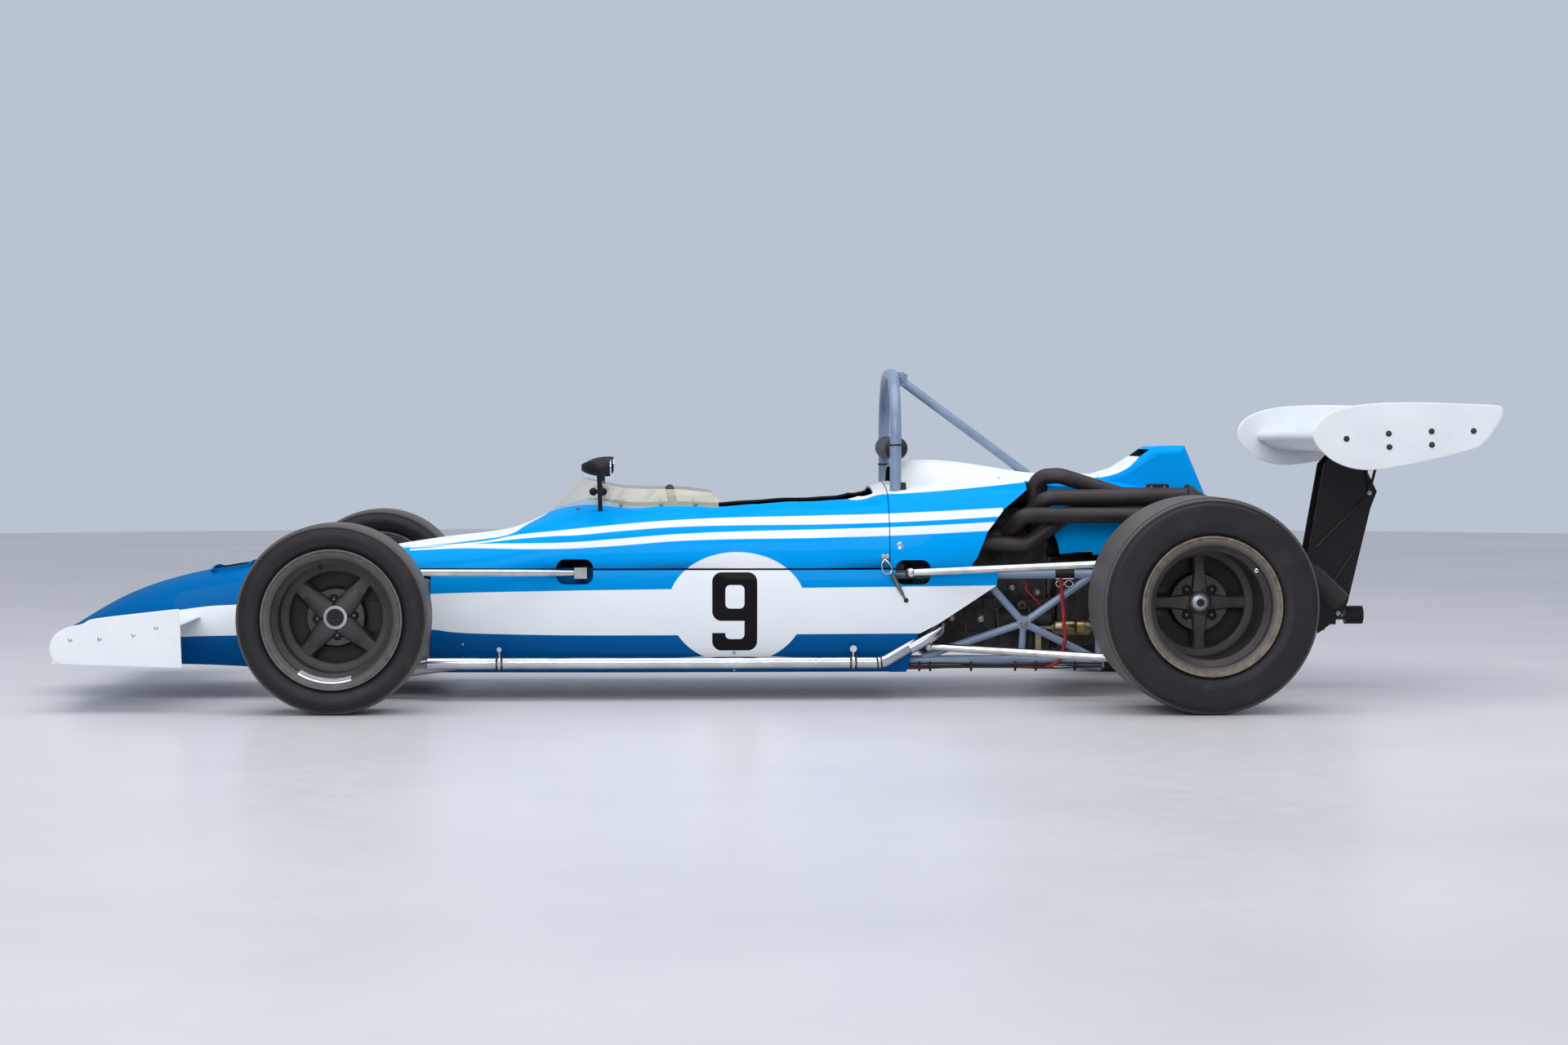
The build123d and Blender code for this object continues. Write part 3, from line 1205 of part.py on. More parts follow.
def make_engine():
    x0, x1 = ENGINE
    with BuildPart() as engine:
        # sump, crankcase, block, head and the two cam covers, as sections of the same extrusion
        sections = [
            (x0 + 10, x1 - 10, 105, SUMP_Z, 175),
            (x0, x1, 128, 175, 262),
            (x0 + 14, x1 - 20, 98, 262, HEAD_Z),
            (x0 + 14, x1 - 20, 112, HEAD_Z, 486),
        ]
        for a, b, half, low, high in sections:
            add(block(p(a, -half, low), p(b, half, high)))
        for y in (-72, 22):
            add(block(p(x0 + 20, y, 486), p(x1 - 26, y + 50, 516)))
        verticals = engine.edges().filter_by(Axis.Z)
        fillet(verticals, 6)
        # ribs on the crankcase
        for i in range(BORES + 1):
            x = PORT_X - BORE_PITCH / 2 - 20 + i * BORE_PITCH
            for side in (-1, 1):
                low, high = sorted((side * 120, side * 136))
                add(block(p(x - 4, low, 180), p(x + 4, high, 256)))
        # exhaust ports on the left, inlet trumpets on the right
        for i in range(BORES):
            x = PORT_X + i * BORE_PITCH - 20
            add(bar(p(x, -108, 440), p(x, -134, 440), 30))
            add(bar(p(x, 108, 440), p(x, 150, 448), 26))
            trumpet = Plane(origin=p(x, 148, 448), z_dir=(0, 1, 0.12))
            add(Solid.make_cone(23, 36, 44, trumpet))
            add(Solid.make_cylinder(20, 60, trumpet.offset(-2)), mode=Mode.SUBTRACT)
        # front cover with its pulley
        add(bar(p(x0 - 14, 0, 200), p(x0 + 2, 0, 200), 62))
        add(block(p(x0 - 12, -70, 190), p(x0 + 4, 70, 470)))
        # air box over the cam covers, in front of the stay
        with BuildPart(mode=Mode.PRIVATE) as box:
            add(block(p(1620, -60, 522), p(1890, 170, 566)))
            fillet(box.edges().filter_by(Axis.X), 16)
            add(bar(p(1680, 100, 500), p(1680, 100, 524), 26))
            add(bar(p(1840, 100, 500), p(1840, 100, 524), 26))
        for x in (1660, 1850):
            add(bar(p(x, -30, 514), p(x, -30, 524), 12))
        add(box.part)
        # starter beside the crankcase, and the oil filter
        add(bar(p(x1 - 170, -152, 200), p(x1 - 20, -152, 200), 32))
        add(bar(p(x0 + 70, -128, 190), p(x0 + 70, -190, 176), 38))
    write("engine", engine.part)

    tail = GEARBOX_TAIL
    with BuildPart() as gearbox:
        # bell housing lofted from the engine's face to the case
        with BuildSketch(crosswise(at(x1 + GAP))):
            with Locations((0, BELL[0][2])):
                RectangleRounded(2 * BELL[0][1], 2 * BELL[0][3], BELL[0][3] * 0.55)
        extrude(amount=BELL[0][0] - x1 - GAP)
        for x, half, z, radius in BELL:
            with BuildSketch(crosswise(at(x))):
                with Locations((0, z)):
                    RectangleRounded(2 * half, 2 * radius, radius * 0.55)
        loft(ruled=True)
        # case, side by side: front and rear end, half width, low and high z, corner radius
        for a, b, half, low, high, corner in (
            (2100, 2200, 96, 150, BELL_TOP, 24),
            (2180, 2380, 104, 140, 388, 20),
            (2370, 2560, 80, 158, 368, 16),
            (2550, tail, PYLON_Y - PLATE / 2 - GAP, 165, 376, 6),
        ):
            with BuildSketch(crosswise(at(a))):
                with Locations((0, (low + high) / 2)):
                    RectangleRounded(2 * half, high - low, corner)
            extrude(amount=b - a)
        add(bar(p(WHEELBASE, -OUTPUT_Y, REAR_TYRE_R), p(WHEELBASE, OUTPUT_Y, REAR_TYRE_R), 62))
        add(bar(p(WHEELBASE, -OUTPUT_Y + 20, REAR_TYRE_R), p(WHEELBASE, OUTPUT_Y - 20, REAR_TYRE_R), 84))
        # casting ribs
        for x in (2140, 2395, 2440, 2485, 2530):
            half = 102 if x < 2300 else 86
            add(block(p(x - 3, -half, 170), p(x + 3, half, 360)))
        # lugs for the links and the dampers
        px, py, pz = LOWER_PIVOT
        for side in (-1, 1):
            low, high = sorted((side * (py - 40), side * (py - 15 - GAP)))
            add(block(p(px - 16, low, pz - 14), p(px + 16, high, 150)))
            hx, hy, hz = TOP_PIVOT
            low, high = sorted((side * 80, side * (hy - 14 - GAP)))
            add(block(p(hx - 16, low, hz - 40), p(hx + 16, high, hz + 14)))
            low, high = sorted((side * 70, side * (206 - 13 - GAP)))
            add(block(p(WHEELBASE + 84, low, 350), p(WHEELBASE + 112, high, DAMPER_TOP_Z + 8)))
    write("gearbox", gearbox.part)


# exhaust primaries from the front port to the rear one: corners after the port as (behind axle, y, z), and the bends' radius
PRIMARIES = [
    ([(1632, -266, 430), (1862, -266, 419), (1985, -246, 510)], 45),
    ([(1720, -214, 440), (1808, -226, 446), (1846, -298, 502), (2170, -298, 501)], 38),
    ([(1808, -174, 442), (1916, -270, 550), (2180, -274, 552)], 45),
    ([(1892, -180, 444), (1888, -208, 606), (1955, -238, 610), (2130, -226, 556)], 45),
]
COLLECTOR = (2292, -234, 530)
COLLECTOR_R = 60
PRIMARY_SPREAD = 24
TAIL_PIPE = [(2440, -220, 474), (2680, -204, 326), (2752, -200, 256)]
TAIL_PIPE_R = 28


def make_exhaust():
    with BuildPart() as exhaust:
        s = PRIMARY_SPREAD
        places = [(s, -s), (-s, -s), (-s, s), (s, s)]
        for i, ((corners, bend), (dy, dz)) in enumerate(zip(PRIMARIES, places)):
            x = PORT_X + i * BORE_PITCH - 20
            add(bar(p(x, -134 - GAP, 440), p(x, -142, 440), 30))
            end = (COLLECTOR[0] + 12, COLLECTOR[1] + dy, COLLECTOR[2] + dz)
            add(pipe([p(*point) for point in [(x, -140, 440), *corners, end]], EXHAUST_R, bend))
        # collector cone and tail pipe
        start = p(*COLLECTOR)
        end = p(*TAIL_PIPE[0])
        direction = Vector(*end) - Vector(*start)
        add(bar(start, Vector(*start) + direction.normalized() * 20, COLLECTOR_R))
        add(Solid.make_cone(COLLECTOR_R, TAIL_PIPE_R + 4, direction.length, Plane(origin=start, z_dir=direction)))
        add(pipe([p(*point) for point in TAIL_PIPE], TAIL_PIPE_R, 60))
    write("exhaust", exhaust.part)


# ---------------------------------------------------------------- rear frame
def make_rear_frame():
    y = RAIL_Y
    start = SPLIT + GAP
    end = REAR_FRAME_END
    node = (1849, 204)
    # one side's tubes: from and to, as behind axle and z, and radius
    side_tubes = [
        ((start, RAIL_TOP_Z), (end + 6, RAIL_TOP_Z), FRAME_R),
        ((start, RAIL_LOW_Z), (1960, RAIL_LOW_Z), FRAME_R),
        ((1948, RAIL_LOW_Z + 1), (end + 4, 84), FRAME_R - 1),
        (node, (1571, 112), BRACE_R),
        (node, (1735, RAIL_TOP_Z - 6), BRACE_R),
        (node, (2036, RAIL_TOP_Z - 6), BRACE_R),
        (node, (1842, RAIL_LOW_Z + 4), BRACE_R - 1),
        (node, (2052, 104), BRACE_R),
        ((end, RAIL_TOP_Z + 5), (end, 80), FRAME_R - 0.5),
    ]
    cross_tubes = [(HOOP_X, RAIL_TOP_Z), (1600, RAIL_LOW_Z), (1900, RAIL_LOW_Z)]
    with BuildPart() as frame:
        for a, b, radius in side_tubes:
            add(bar(p(a[0], -y, a[1]), p(b[0], -y, b[1]), radius))
        add(bar(p(node[0], -y - 12, node[1]), p(node[0], -y + 12, node[1]), FRAME_R + 6))
        # mounting pads on the bulkhead
        for z in (RAIL_TOP_Z, RAIL_LOW_Z):
            add(bar(p(start, -y, z), p(start + 6, -y, z), FRAME_R + 5))
        # rear bulkhead tubes reach in to the bell housing
        for z in (RAIL_TOP_Z - 14, 200):
            inner = bell_half(end - FRAME_R) + GAP
            add(bar(p(end, -y, z), p(end, -inner, z), FRAME_R - 1))
        mirror(about=Plane.XZ)
        for x, z in cross_tubes:
            add(bar(p(x, -y - 4, z), p(x, y + 4, z), FRAME_R - 0.25))
    write("rear_frame", frame.part)


def bell_half(behind):
    """Half width of the bell housing at a station."""
    share = (behind - BELL[0][0]) / (BELL[1][0] - BELL[0][0])
    return BELL[0][1] + (BELL[1][1] - BELL[0][1]) * share


# ---------------------------------------------------------------- tail and wing
# wing pylon outline, one of a pair
PYLON = [
    (2735, 640),
    (2689, 380),
    (2719, 156),
    (2786, 205),
    (2805, 245),
    (2869, 515),
    (2887, 561),
    (2835, 668),
    (2760, 668),
]
WING_PLATE = [
    (2596, 723),
    (2608, 760),
    (2668, 795),
    (2756, 808),
    (2844, 812),
    (3021, 806),
    (3099, 803),
    (3112, 790),
    (3097, 751),
    (3055, 697),
    (3022, 683),
    (2912, 653),
    (2801, 633),
    (2735, 630),
    (2668, 646),
    (2620, 679),
]


WING_LOW = 676


def make_tail():
    with BuildPart() as pylons:
        for side in (-1, 1):
            low, high = sorted((side * (PYLON_Y - PLATE / 2), side * (PYLON_Y + PLATE / 2)))
            add(slab(PYLON, low, high))
            # pressed ribs
            for a, b in (((2712, 400), (2850, 540)), ((2730, 250), (2826, 400))):
                add(bar(p(a[0], side * (PYLON_Y + 4), a[1]), p(b[0], side * (PYLON_Y + 4), b[1]), 5))
        for x, z, radius in ((2864, 557, 6), (2776, 214, 6)):
            add(bar(p(x, -PYLON_Y - 8, z), p(x, PYLON_Y + 8, z), radius))
        # top plate under the wing, and thin struts from the upper bolt to it
        add(block(p(2752, -PYLON_Y - 8, WING_LOW - 8 - GAP), p(2900, PYLON_Y + 8, WING_LOW - GAP)))
        for side in (-1, 1):
            for x in (2848, 2893):
                add(bar(p(2864, side * (PYLON_Y + 6), 557), p(x, side * (PYLON_Y + 4), WING_LOW - 4), 4))
    write("wing_pylons", pylons.part)

    with BuildPart() as wing:
        half = WING_SPAN / 2 - PLATE / 2 - GAP
        with BuildSketch(sidewise(half)):
            with BuildLine():
                nose_top = (at(2664), 728)
                nose_low = (at(2672), 702)
                tail_top = (at(3078), 752)
                tail_low = (at(3078), 748)
                flat_a = (at(2752), WING_LOW)
                flat_b = (at(2842), WING_LOW)
                ThreePointArc(nose_low, (at(2657), 716), nose_top)
                ThreePointArc(nose_top, (at(2860), 734), tail_top)
                Line(tail_top, tail_low)
                ThreePointArc(tail_low, (at(2960), 697), flat_b)
                Line(flat_b, flat_a)
                ThreePointArc(flat_a, (at(2706), 682), nose_low)
            make_face()
        extrude(amount=2 * half)
    write("rear_wing", wing.part)

    with BuildPart() as plates:
        for side in (-1, 1):
            y = side * WING_SPAN / 2
            add(slab(WING_PLATE, y - PLATE / 2, y + PLATE / 2))
    write("wing_plates", plates.part)

    with BuildPart() as lamp:
        inner = PYLON_Y - PLATE / 2 - GAP
        add(bar(p(2806, 0, 207), p(2856, 0, 207), 26))
        add(block(p(2760, -inner, 196), p(2810, inner, 203)))
        for y in (-inner, inner - 3):
            add(block(p(2748, y, 182), p(2772, y + 3, 232)))
        add(bar(p(2776, -PYLON_Y - 10, 214), p(2776, PYLON_Y + 10, 214), 6 + RUN), mode=Mode.SUBTRACT)
    write("tail_lamp", lamp.part)


# ---------------------------------------------------------------- mirrors, pipes and cable
WATER_Y = 362
WATER_Z = 102
WATER_BEND = 55


def water_line(side):
    """Corner points of one water pipe, from the radiator to the engine."""
    return [
        p(RADIATOR_X + 44 + GAP, side * 180, 190),
        p(-470, side * 180, 190),
        p(-330, side * 215, 150),
        p(-215, side * 232, 104),
        p(-125, side * 250, 62 + WATER_R),
        p(150, side * 292, 60 + WATER_R),
        p(300, side * WATER_Y, WATER_Z),
        p(1455, side * WATER_Y, WATER_Z),
        p(1560, side * 330, 160),
        p(1640, side * 268, 215),
        p(1660, side * 200, 250),
    ]


def make_outside():
    with BuildPart() as pods:
        for side in (-1, 1):
            y = side * 300
            with BuildSketch(crosswise(at(711))):
                with Locations((y, 634)):
                    RectangleRounded(104, 47, 20)
            with BuildSketch(crosswise(at(660))):
                with Locations((y, 634)):
                    RectangleRounded(92, 40, 18)
            with BuildSketch(crosswise(at(633))):
                with Locations((y, 634)):
                    RectangleRounded(40, 18, 8)
            loft()
            add(bar(p(680, y, 620), p(684, side * 262, 500), 6))
        add(shell_loft(COWL, -GAP, 0), mode=Mode.SUBTRACT)
        pieces = [s for s in pods.part.solids() if s.center().Z > 560]
    write("mirrors", Compound(pieces))

    with BuildPart() as faces:
        for side in (-1, 1):
            with BuildSketch(crosswise(at(711) + GAP)):
                with Locations((side * 300, 634)):
                    RectangleRounded(98, 41, 17)
            extrude(amount=2)
    write("mirror_faces", faces.part)

    with BuildPart() as water:
        for side in (-1, 1):
            add(pipe(water_line(side), WATER_R, WATER_BEND))
            # clamps to the body's side
            for x in (412, 1373):
                low, high = sorted((side * 318, side * (WATER_Y + WATER_R + 2)))
                add(block(p(x - 8, low, WATER_Z - 5), p(x + 8, high, WATER_Z + 5)))
        add(tub_loft(LOWER_BODY, -GAP, 0), mode=Mode.SUBTRACT)
    write("water_pipes", water.part)

    with BuildPart() as cable:
        y = -RAIL_Y
        points = [
            p(SPLIT + 8, y, 84.6),
            p(1896, y, 84.6),
            p(1922, y - 25, 84.6),
            p(1948, y - 26, 106),
            p(1962, y - 26, 160),
            p(1956, y - 20, 240),
            p(1950, y - FRAME_R - 5 - GAP, 330),
        ]
        add(pipe(points, 5, 16))
    write("battery_cable", cable.part)

    with BuildPart() as pump:
        add(bar(p(1944, -205, 186), p(2042, -205, 186), 21))
        for x in (1938, 2042):
            add(bar(p(x, -205, 186), p(x + 6, -205, 186), 14))
        add(block(p(1892, -209, RAIL_LOW_Z + FRAME_R + GAP), p(1908, -201, 190)))
        add(block(p(1892, -209, 182), p(1950, -201, 190)))
    write("fuel_filter", pump.part)


make_lower_body()
make_cockpit_cowl()
make_windscreen()
make_nose_cone()
make_nose_wings()
make_front_frame()
make_front_suspension()
make_steering()
make_cockpit()
make_roll_hoop()
make_engine_cover()
make_engine()
make_exhaust()
make_rear_frame()
make_rear_suspension()
make_wheels()
make_tail()
make_outside()
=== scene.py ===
"""Open wheel racing car: the visible pieces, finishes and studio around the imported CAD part.

Lengths in the piece builders are millimetres in the part's own stations: b behind the
front axle, y towards the right, z up. make_object turns them into metres in the part's frame.
"""

import bmesh
import bpy
import numpy as np
from mathutils import Matrix, Vector


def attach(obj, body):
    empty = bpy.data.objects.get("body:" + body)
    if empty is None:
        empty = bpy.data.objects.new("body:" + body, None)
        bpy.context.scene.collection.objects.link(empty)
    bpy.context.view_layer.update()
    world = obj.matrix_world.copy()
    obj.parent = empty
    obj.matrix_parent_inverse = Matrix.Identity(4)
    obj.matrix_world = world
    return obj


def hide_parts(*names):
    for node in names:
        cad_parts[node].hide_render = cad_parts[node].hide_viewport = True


bl_info = {
    "name": "Open Wheel Racing Car",
    "version": (1, 0, 0),
    "blender": (4, 5, 0),
    "location": "3D View > Sidebar > Racing Car",
    "description": "Builds the tyres, springs, fittings, finishes and studio of a racing car",
    "category": "Object",
}

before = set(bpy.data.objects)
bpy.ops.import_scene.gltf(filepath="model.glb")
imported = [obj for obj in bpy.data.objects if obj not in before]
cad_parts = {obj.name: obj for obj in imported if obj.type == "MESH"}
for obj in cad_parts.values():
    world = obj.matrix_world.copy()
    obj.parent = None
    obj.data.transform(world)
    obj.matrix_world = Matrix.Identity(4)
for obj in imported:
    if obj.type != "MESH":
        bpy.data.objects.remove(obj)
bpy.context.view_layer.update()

AXLE_X = -1.156  # X of the front axle in the part's frame, metres
SPLIT = 1.475  # station of the joint between cowl and engine cover, metres
WHEELBASE = 2270.0
LEFT, RIGHT = -1, 1
UP = np.array([0.0, 0.0, 1.0])


# ---------------------------------------------------------------- numpy surfaces
def unit(v):
    """Vectors scaled to length one."""
    v = np.asarray(v, float)
    return v / np.linalg.norm(v, axis=-1, keepdims=True)


def surface(points, closed=True, ring=False):
    """Quads over a grid of points (rows, columns, 3).

    closed joins the last column to the first, ring joins the last row to the first as well.
    """
    rows, cols = points.shape[:2]
    r = np.arange(rows if ring else rows - 1)[:, None]
    c = np.arange(cols if closed else cols - 1)[None, :]
    r, c = np.broadcast_arrays(r, c)
    r2, c2 = (r + 1) % rows, (c + 1) % cols
    faces = np.stack([r * cols + c, r2 * cols + c, r2 * cols + c2, r * cols + c2], -1).reshape(-1, 4)
    u = np.stack([c, c, c + 1, c + 1], -1) / (cols if closed else cols - 1)
    v = np.stack([r, r + 1, r + 1, r], -1) / (rows if ring else rows - 1)
    uv = np.stack([u, v], -1).reshape(-1, 2)
    return points.reshape(-1, 3), faces, uv


def join(parts):
    """Several (points, faces, uv) as one."""
    parts = list(parts)
    starts = np.cumsum([0] + [len(p[0]) for p in parts[:-1]])
    return (
        np.concatenate([p[0] for p in parts]),
        np.concatenate([p[1] + s for p, s in zip(parts, starts)]),
        np.concatenate([p[2] for p in parts]),
    )


def both_sides(part):
    """A piece and its mirror image across the centreline."""
    points, faces, uv = part
    return join([part, (points * [1, -1, 1], faces[:, ::-1], uv.reshape(-1, 4, 2)[:, ::-1].reshape(-1, 2))])


def basis(axis):
    """Two unit vectors square to an axis and to each other."""
    axis = unit(axis)
    side = np.cross(axis, UP if abs(axis[2]) < 0.9 else [1.0, 0.0, 0.0])
    side = unit(side)
    return side, np.cross(axis, side)


def lathe(profile, centre, axis, turns=48):
    """Body of revolution: point(s, a) = centre + height(s) axis + radius(s) (cos a, sin a) across it."""
    profile = np.asarray(profile, float)
    u, v = basis(axis)
    a = np.linspace(0, 2 * np.pi, turns, endpoint=False)
    ring = np.cos(a)[:, None] * u + np.sin(a)[:, None] * v
    centre = np.asarray(centre, float)
    return surface(centre + profile[:, None, :1] * unit(axis) + profile[:, None, 1:] * ring[None])


def curve(points, steps=10):
    """Smooth line through points: Catmull-Rom cubics, each span cut into steps."""
    q = np.asarray(points, float)
    q = np.concatenate([[2 * q[0] - q[1]], q, [2 * q[-1] - q[-2]]])
    t = np.linspace(0, 1, steps, endpoint=False)[None, :, None]
    a, b, c, d = (q[i : len(q) - 3 + i][:, None] for i in range(4))
    line = 0.5 * (2 * b + (c - a) * t + (2 * a - 5 * b + 4 * c - d) * t**2 + (3 * b - a - 3 * c + d) * t**3)
    return np.concatenate([line.reshape(-1, q.shape[1]), q[-2:-1]])


def tube(line, radius, sides=12, flat=1.0, closed=False):
    """Round bar along a line: each point carries a circle square to the line; flat squeezes one width."""
    line = np.asarray(line, float)
    tangent = unit(np.gradient(line, axis=0))
    if closed:
        tangent = unit(np.roll(line, -1, 0) - np.roll(line, 1, 0))
    ref = np.eye(3)[np.argmin(np.abs(tangent).max(0))]
    u = unit(np.cross(tangent, ref))
    v = np.cross(tangent, u)
    a = np.linspace(0, 2 * np.pi, sides, endpoint=False)[None, :, None]
    points = line[:, None] + radius * (np.cos(a) * u[:, None] + flat * np.sin(a) * v[:, None])
    if closed:
        return surface(points, ring=True)
    ends = [np.repeat(line[i : i + 1, None], sides, 1) for i in (0, len(line) - 1)]
    return surface(np.concatenate([ends[0], points, ends[1]]))


def ribbon(line, width_dir, width, thick):
    """Flat strap along a line: a rounded rectangle carried along it.

    Its width lies along width_dir and its thickness square to that and to the line.
    """
    line = np.asarray(line, float)
    across = unit(np.broadcast_to(np.asarray(width_dir, float), line.shape))
    normal = unit(np.cross(unit(np.gradient(line, axis=0)), across))
    a = np.linspace(0, 2 * np.pi, 20, endpoint=False)
    x = np.sign(np.cos(a)) * np.abs(np.cos(a)) ** 0.25 * width / 2
    y = np.sign(np.sin(a)) * np.abs(np.sin(a)) ** 0.6 * thick / 2
    return surface(line[:, None] + x[None, :, None] * across[:, None] + y[None, :, None] * normal[:, None])


def rounded(outline, passes=4):
    """Closed outline with its corners cut: each pass keeps the quarter points of every edge."""
    line = np.asarray(outline, float)
    for _ in range(passes):
        after = np.roll(line, -1, 0)
        line = np.stack([0.75 * line + 0.25 * after, 0.25 * line + 0.75 * after], 1).reshape(-1, 2)
    return line


def plate(outline, y, thick, edge=1.2):
    """Sheet metal plate: rings of a rounded outline shrunk towards its middle, on both faces."""
    line = rounded(outline)
    middle = (line.max(0) + line.min(0)) / 2
    reach = np.linalg.norm(line - middle, axis=1).min()
    soft = 1 - edge / reach
    rings = [
        (0.0, 0.5), (0.5, 0.5), (soft - 0.02, 0.5), (soft, 0.48), (1.0, 0.2), (1.0, -0.2), (soft, -0.48),
        (soft - 0.02, -0.5), (0.5, -0.5), (0.0, -0.5),
    ]
    points = [
        np.insert(middle + share * (line - middle), 1, y + depth * thick, axis=1) for share, depth in rings
    ]
    return surface(np.stack(points))


def ring(centre, axis, inner, outer, width):
    """Flat band round a tube."""
    half = width / 2
    edge = min(1.0, half / 2)
    section = [
        (-half, inner), (-half, outer - edge), (edge - half, outer), (half - edge, outer),
        (half, outer - edge), (half, inner), (-half, inner),
    ]
    return lathe(section, centre, axis, 40)


def dome(centre, axis, radius, height, turns=16):
    """Round rivet or screw head standing on a surface."""
    a = np.linspace(0, np.pi / 2, 6)
    return lathe(np.stack([height * np.sin(a), radius * np.cos(a)], 1), centre, axis, turns)


def nut(centre, axis, radius, height):
    """Hexagon nut with the stud's end through it."""
    body = [(0, 0), (0, radius), (height * 0.85, radius), (height, radius * 0.86), (height, radius * 0.5)]
    stud = [(height, radius * 0.5), (height * 1.35, radius * 0.46), (height * 1.4, 0)]
    return join([lathe(body, centre, axis, 6), lathe(stud, centre, axis, 12)])


def slab(low, high, edge=2.0):
    """Box with softened edges between two corners: a superellipsoid of a high power."""
    low, high = np.asarray(low, float), np.asarray(high, float)
    size = (high - low) / 2
    power = np.clip(edge / size.min(), 0.06, 1.0)
    a = np.linspace(-np.pi / 2, np.pi / 2, 13)[:, None]
    b = np.linspace(0, 2 * np.pi, 24, endpoint=False)[None]

    def bent(w):
        return np.sign(w) * np.abs(w) ** power

    points = np.stack(
        [
            bent(np.cos(a)) * bent(np.cos(b)), bent(np.cos(a)) * bent(np.sin(b)),
            bent(np.sin(a)) * np.ones_like(b),
        ],
        -1,
    )
    return surface((low + high) / 2 + points * size)


def make_object(name, part, material, body="chassis", replaces=(), sharp=40.0):
    """Mesh object from a joined piece, riding on a CAD body and standing for the CAD nodes named."""
    points, faces, uv = part
    metres = points / 1000 + [AXLE_X, 0, 0]
    mesh = bpy.data.meshes.new(name)
    mesh.from_pydata(metres, [], faces)
    layer = mesh.uv_layers.new(name="UVMap")
    layer.data.foreach_set("uv", uv.ravel())
    work = bmesh.new()
    work.from_mesh(mesh)
    bmesh.ops.dissolve_degenerate(work, dist=1e-6, edges=work.edges)
    bmesh.ops.recalc_face_normals(work, faces=work.faces)
    work.to_mesh(mesh)
    work.free()
    mesh.shade_smooth()
    mesh.set_sharp_from_angle(angle=np.radians(sharp))
    mesh.materials.append(bpy.data.materials[material])
    obj = bpy.data.objects.new(name, mesh)
    bpy.context.scene.collection.objects.link(obj)
    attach(obj, body)
    if replaces:
        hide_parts(*replaces)
    return obj


# ---------------------------------------------------------------- materials
def linear(code):
    """sRGB hex code as linear red, green, blue and alpha.

    A colour property, which is linear already, stays as it is.
    """
    if not isinstance(code, str):
        return tuple(code)
    c = np.array([int(code[i : i + 2], 16) for i in (1, 3, 5)]) / 255
    return (*np.where(c <= 0.04045, c / 12.92, ((c + 0.055) / 1.055) ** 2.4), 1.0)


def as_socket(value):
    """Output that a node hands on, called Result or else its first; anything else stays as it is."""
    if isinstance(value, bpy.types.Node):
        return value.outputs.get("Result") or value.outputs[0]
    return value


def add_node(tree, kind, inputs=None, **settings):
    """One shader node: inputs are nodes or sockets to link, or values; settings are its properties."""
    node = tree.nodes.new("ShaderNode" + kind)
    for key, value in settings.items():
        setattr(node, key, value)
    for key, value in (inputs or {}).items():
        value = as_socket(value)
        if isinstance(value, bpy.types.NodeSocket):
            tree.links.new(value, node.inputs[key])
        else:
            node.inputs[key].default_value = value
    return node


def new_material(name):
    """Empty node material: its tree, its shader and the piece's own coordinates."""
    material = bpy.data.materials.new(name)
    material.use_nodes = True
    tree = material.node_tree
    tree.nodes.clear()
    shader = add_node(tree, "BsdfPrincipled")
    add_node(tree, "OutputMaterial", {"Surface": shader})
    coords = add_node(tree, "TexCoord").outputs
    return tree, shader, coords


def put(shader, **values):
    """Sets sockets of a shader by name, with underscores for spaces; a socket value is linked."""
    for key, value in values.items():
        value = as_socket(value)
        socket = shader.inputs[key.replace("_", " ")]
        if isinstance(value, bpy.types.NodeSocket):
            shader.id_data.links.new(value, socket)
        else:
            socket.default_value = value


def worn(name, code, dark, roughness, metallic=0.0, grain=90.0, mottle=14.0, bump=0.1, spread=0.12, **more):
    """Plain worked material: two tones in broad mottling, fine grain in the roughness and the relief.

    mottle and grain are the noise scales per metre, so mottle 14 is patches of about 70 mm.
    """
    tree, shader, coords = new_material(name)
    broad = add_node(
        tree, "TexNoise", {"Vector": coords["Object"], "Scale": mottle, "Detail": 5.0, "Roughness": 0.6}
    )
    fine = add_node(tree, "TexNoise", {"Vector": coords["Object"], "Scale": grain, "Detail": 3.0})
    tone = add_node(tree, "MapRange", {"Value": broad.outputs["Fac"], "From Min": 0.35, "From Max": 0.7})
    mix = add_node(tree, "Mix", {"Factor": tone, "A": linear(code), "B": linear(dark)}, data_type="RGBA")
    rough = add_node(
        tree, "MapRange",
        {"Value": fine.outputs["Fac"], "To Min": roughness - spread / 2, "To Max": roughness + spread / 2},
    )
    relief = add_node(tree, "Bump", {"Height": fine.outputs["Fac"], "Strength": bump, "Distance": 0.001})
    put(shader, Base_Color=mix, Roughness=rough, Metallic=metallic, Normal=relief.outputs["Normal"], **more)
    return tree, shader, coords


def compare(tree, value, edge, width=0.0008):
    """1 where value is over edge, with an edge as soft as width metres; both may be nodes or sockets."""
    gap = add_node(tree, "Math", {0: value, 1: edge}, operation="SUBTRACT")
    return add_node(tree, "MapRange", {"Value": gap, "From Min": -width / 2, "From Max": width / 2})


def combine(tree, how, *values):
    """One operation (MULTIPLY, MAXIMUM, SUBTRACT) over several masks in turn."""
    result = values[0]
    for value in values[1:]:
        result = add_node(tree, "Math", {0: result, 1: value}, operation=how, use_clamp=True)
    return result


ALONG = (-0.8, 3.2)  # stations between which the painted lines run, metres


def painted_line(tree, along, points):
    """Height in metres of a stripe's edge at each station: points are (b, z) in millimetres."""
    node = add_node(tree, "FloatCurve", {"Value": along})
    line = node.mapping.curves[0].points
    for i, (b, z) in enumerate(points):
        place = ((b / 1000 - ALONG[0]) / (ALONG[1] - ALONG[0]), z / 1000)
        if i < 2:
            line[i].location = place
        else:
            line.new(*place)
    node.mapping.update()
    return node


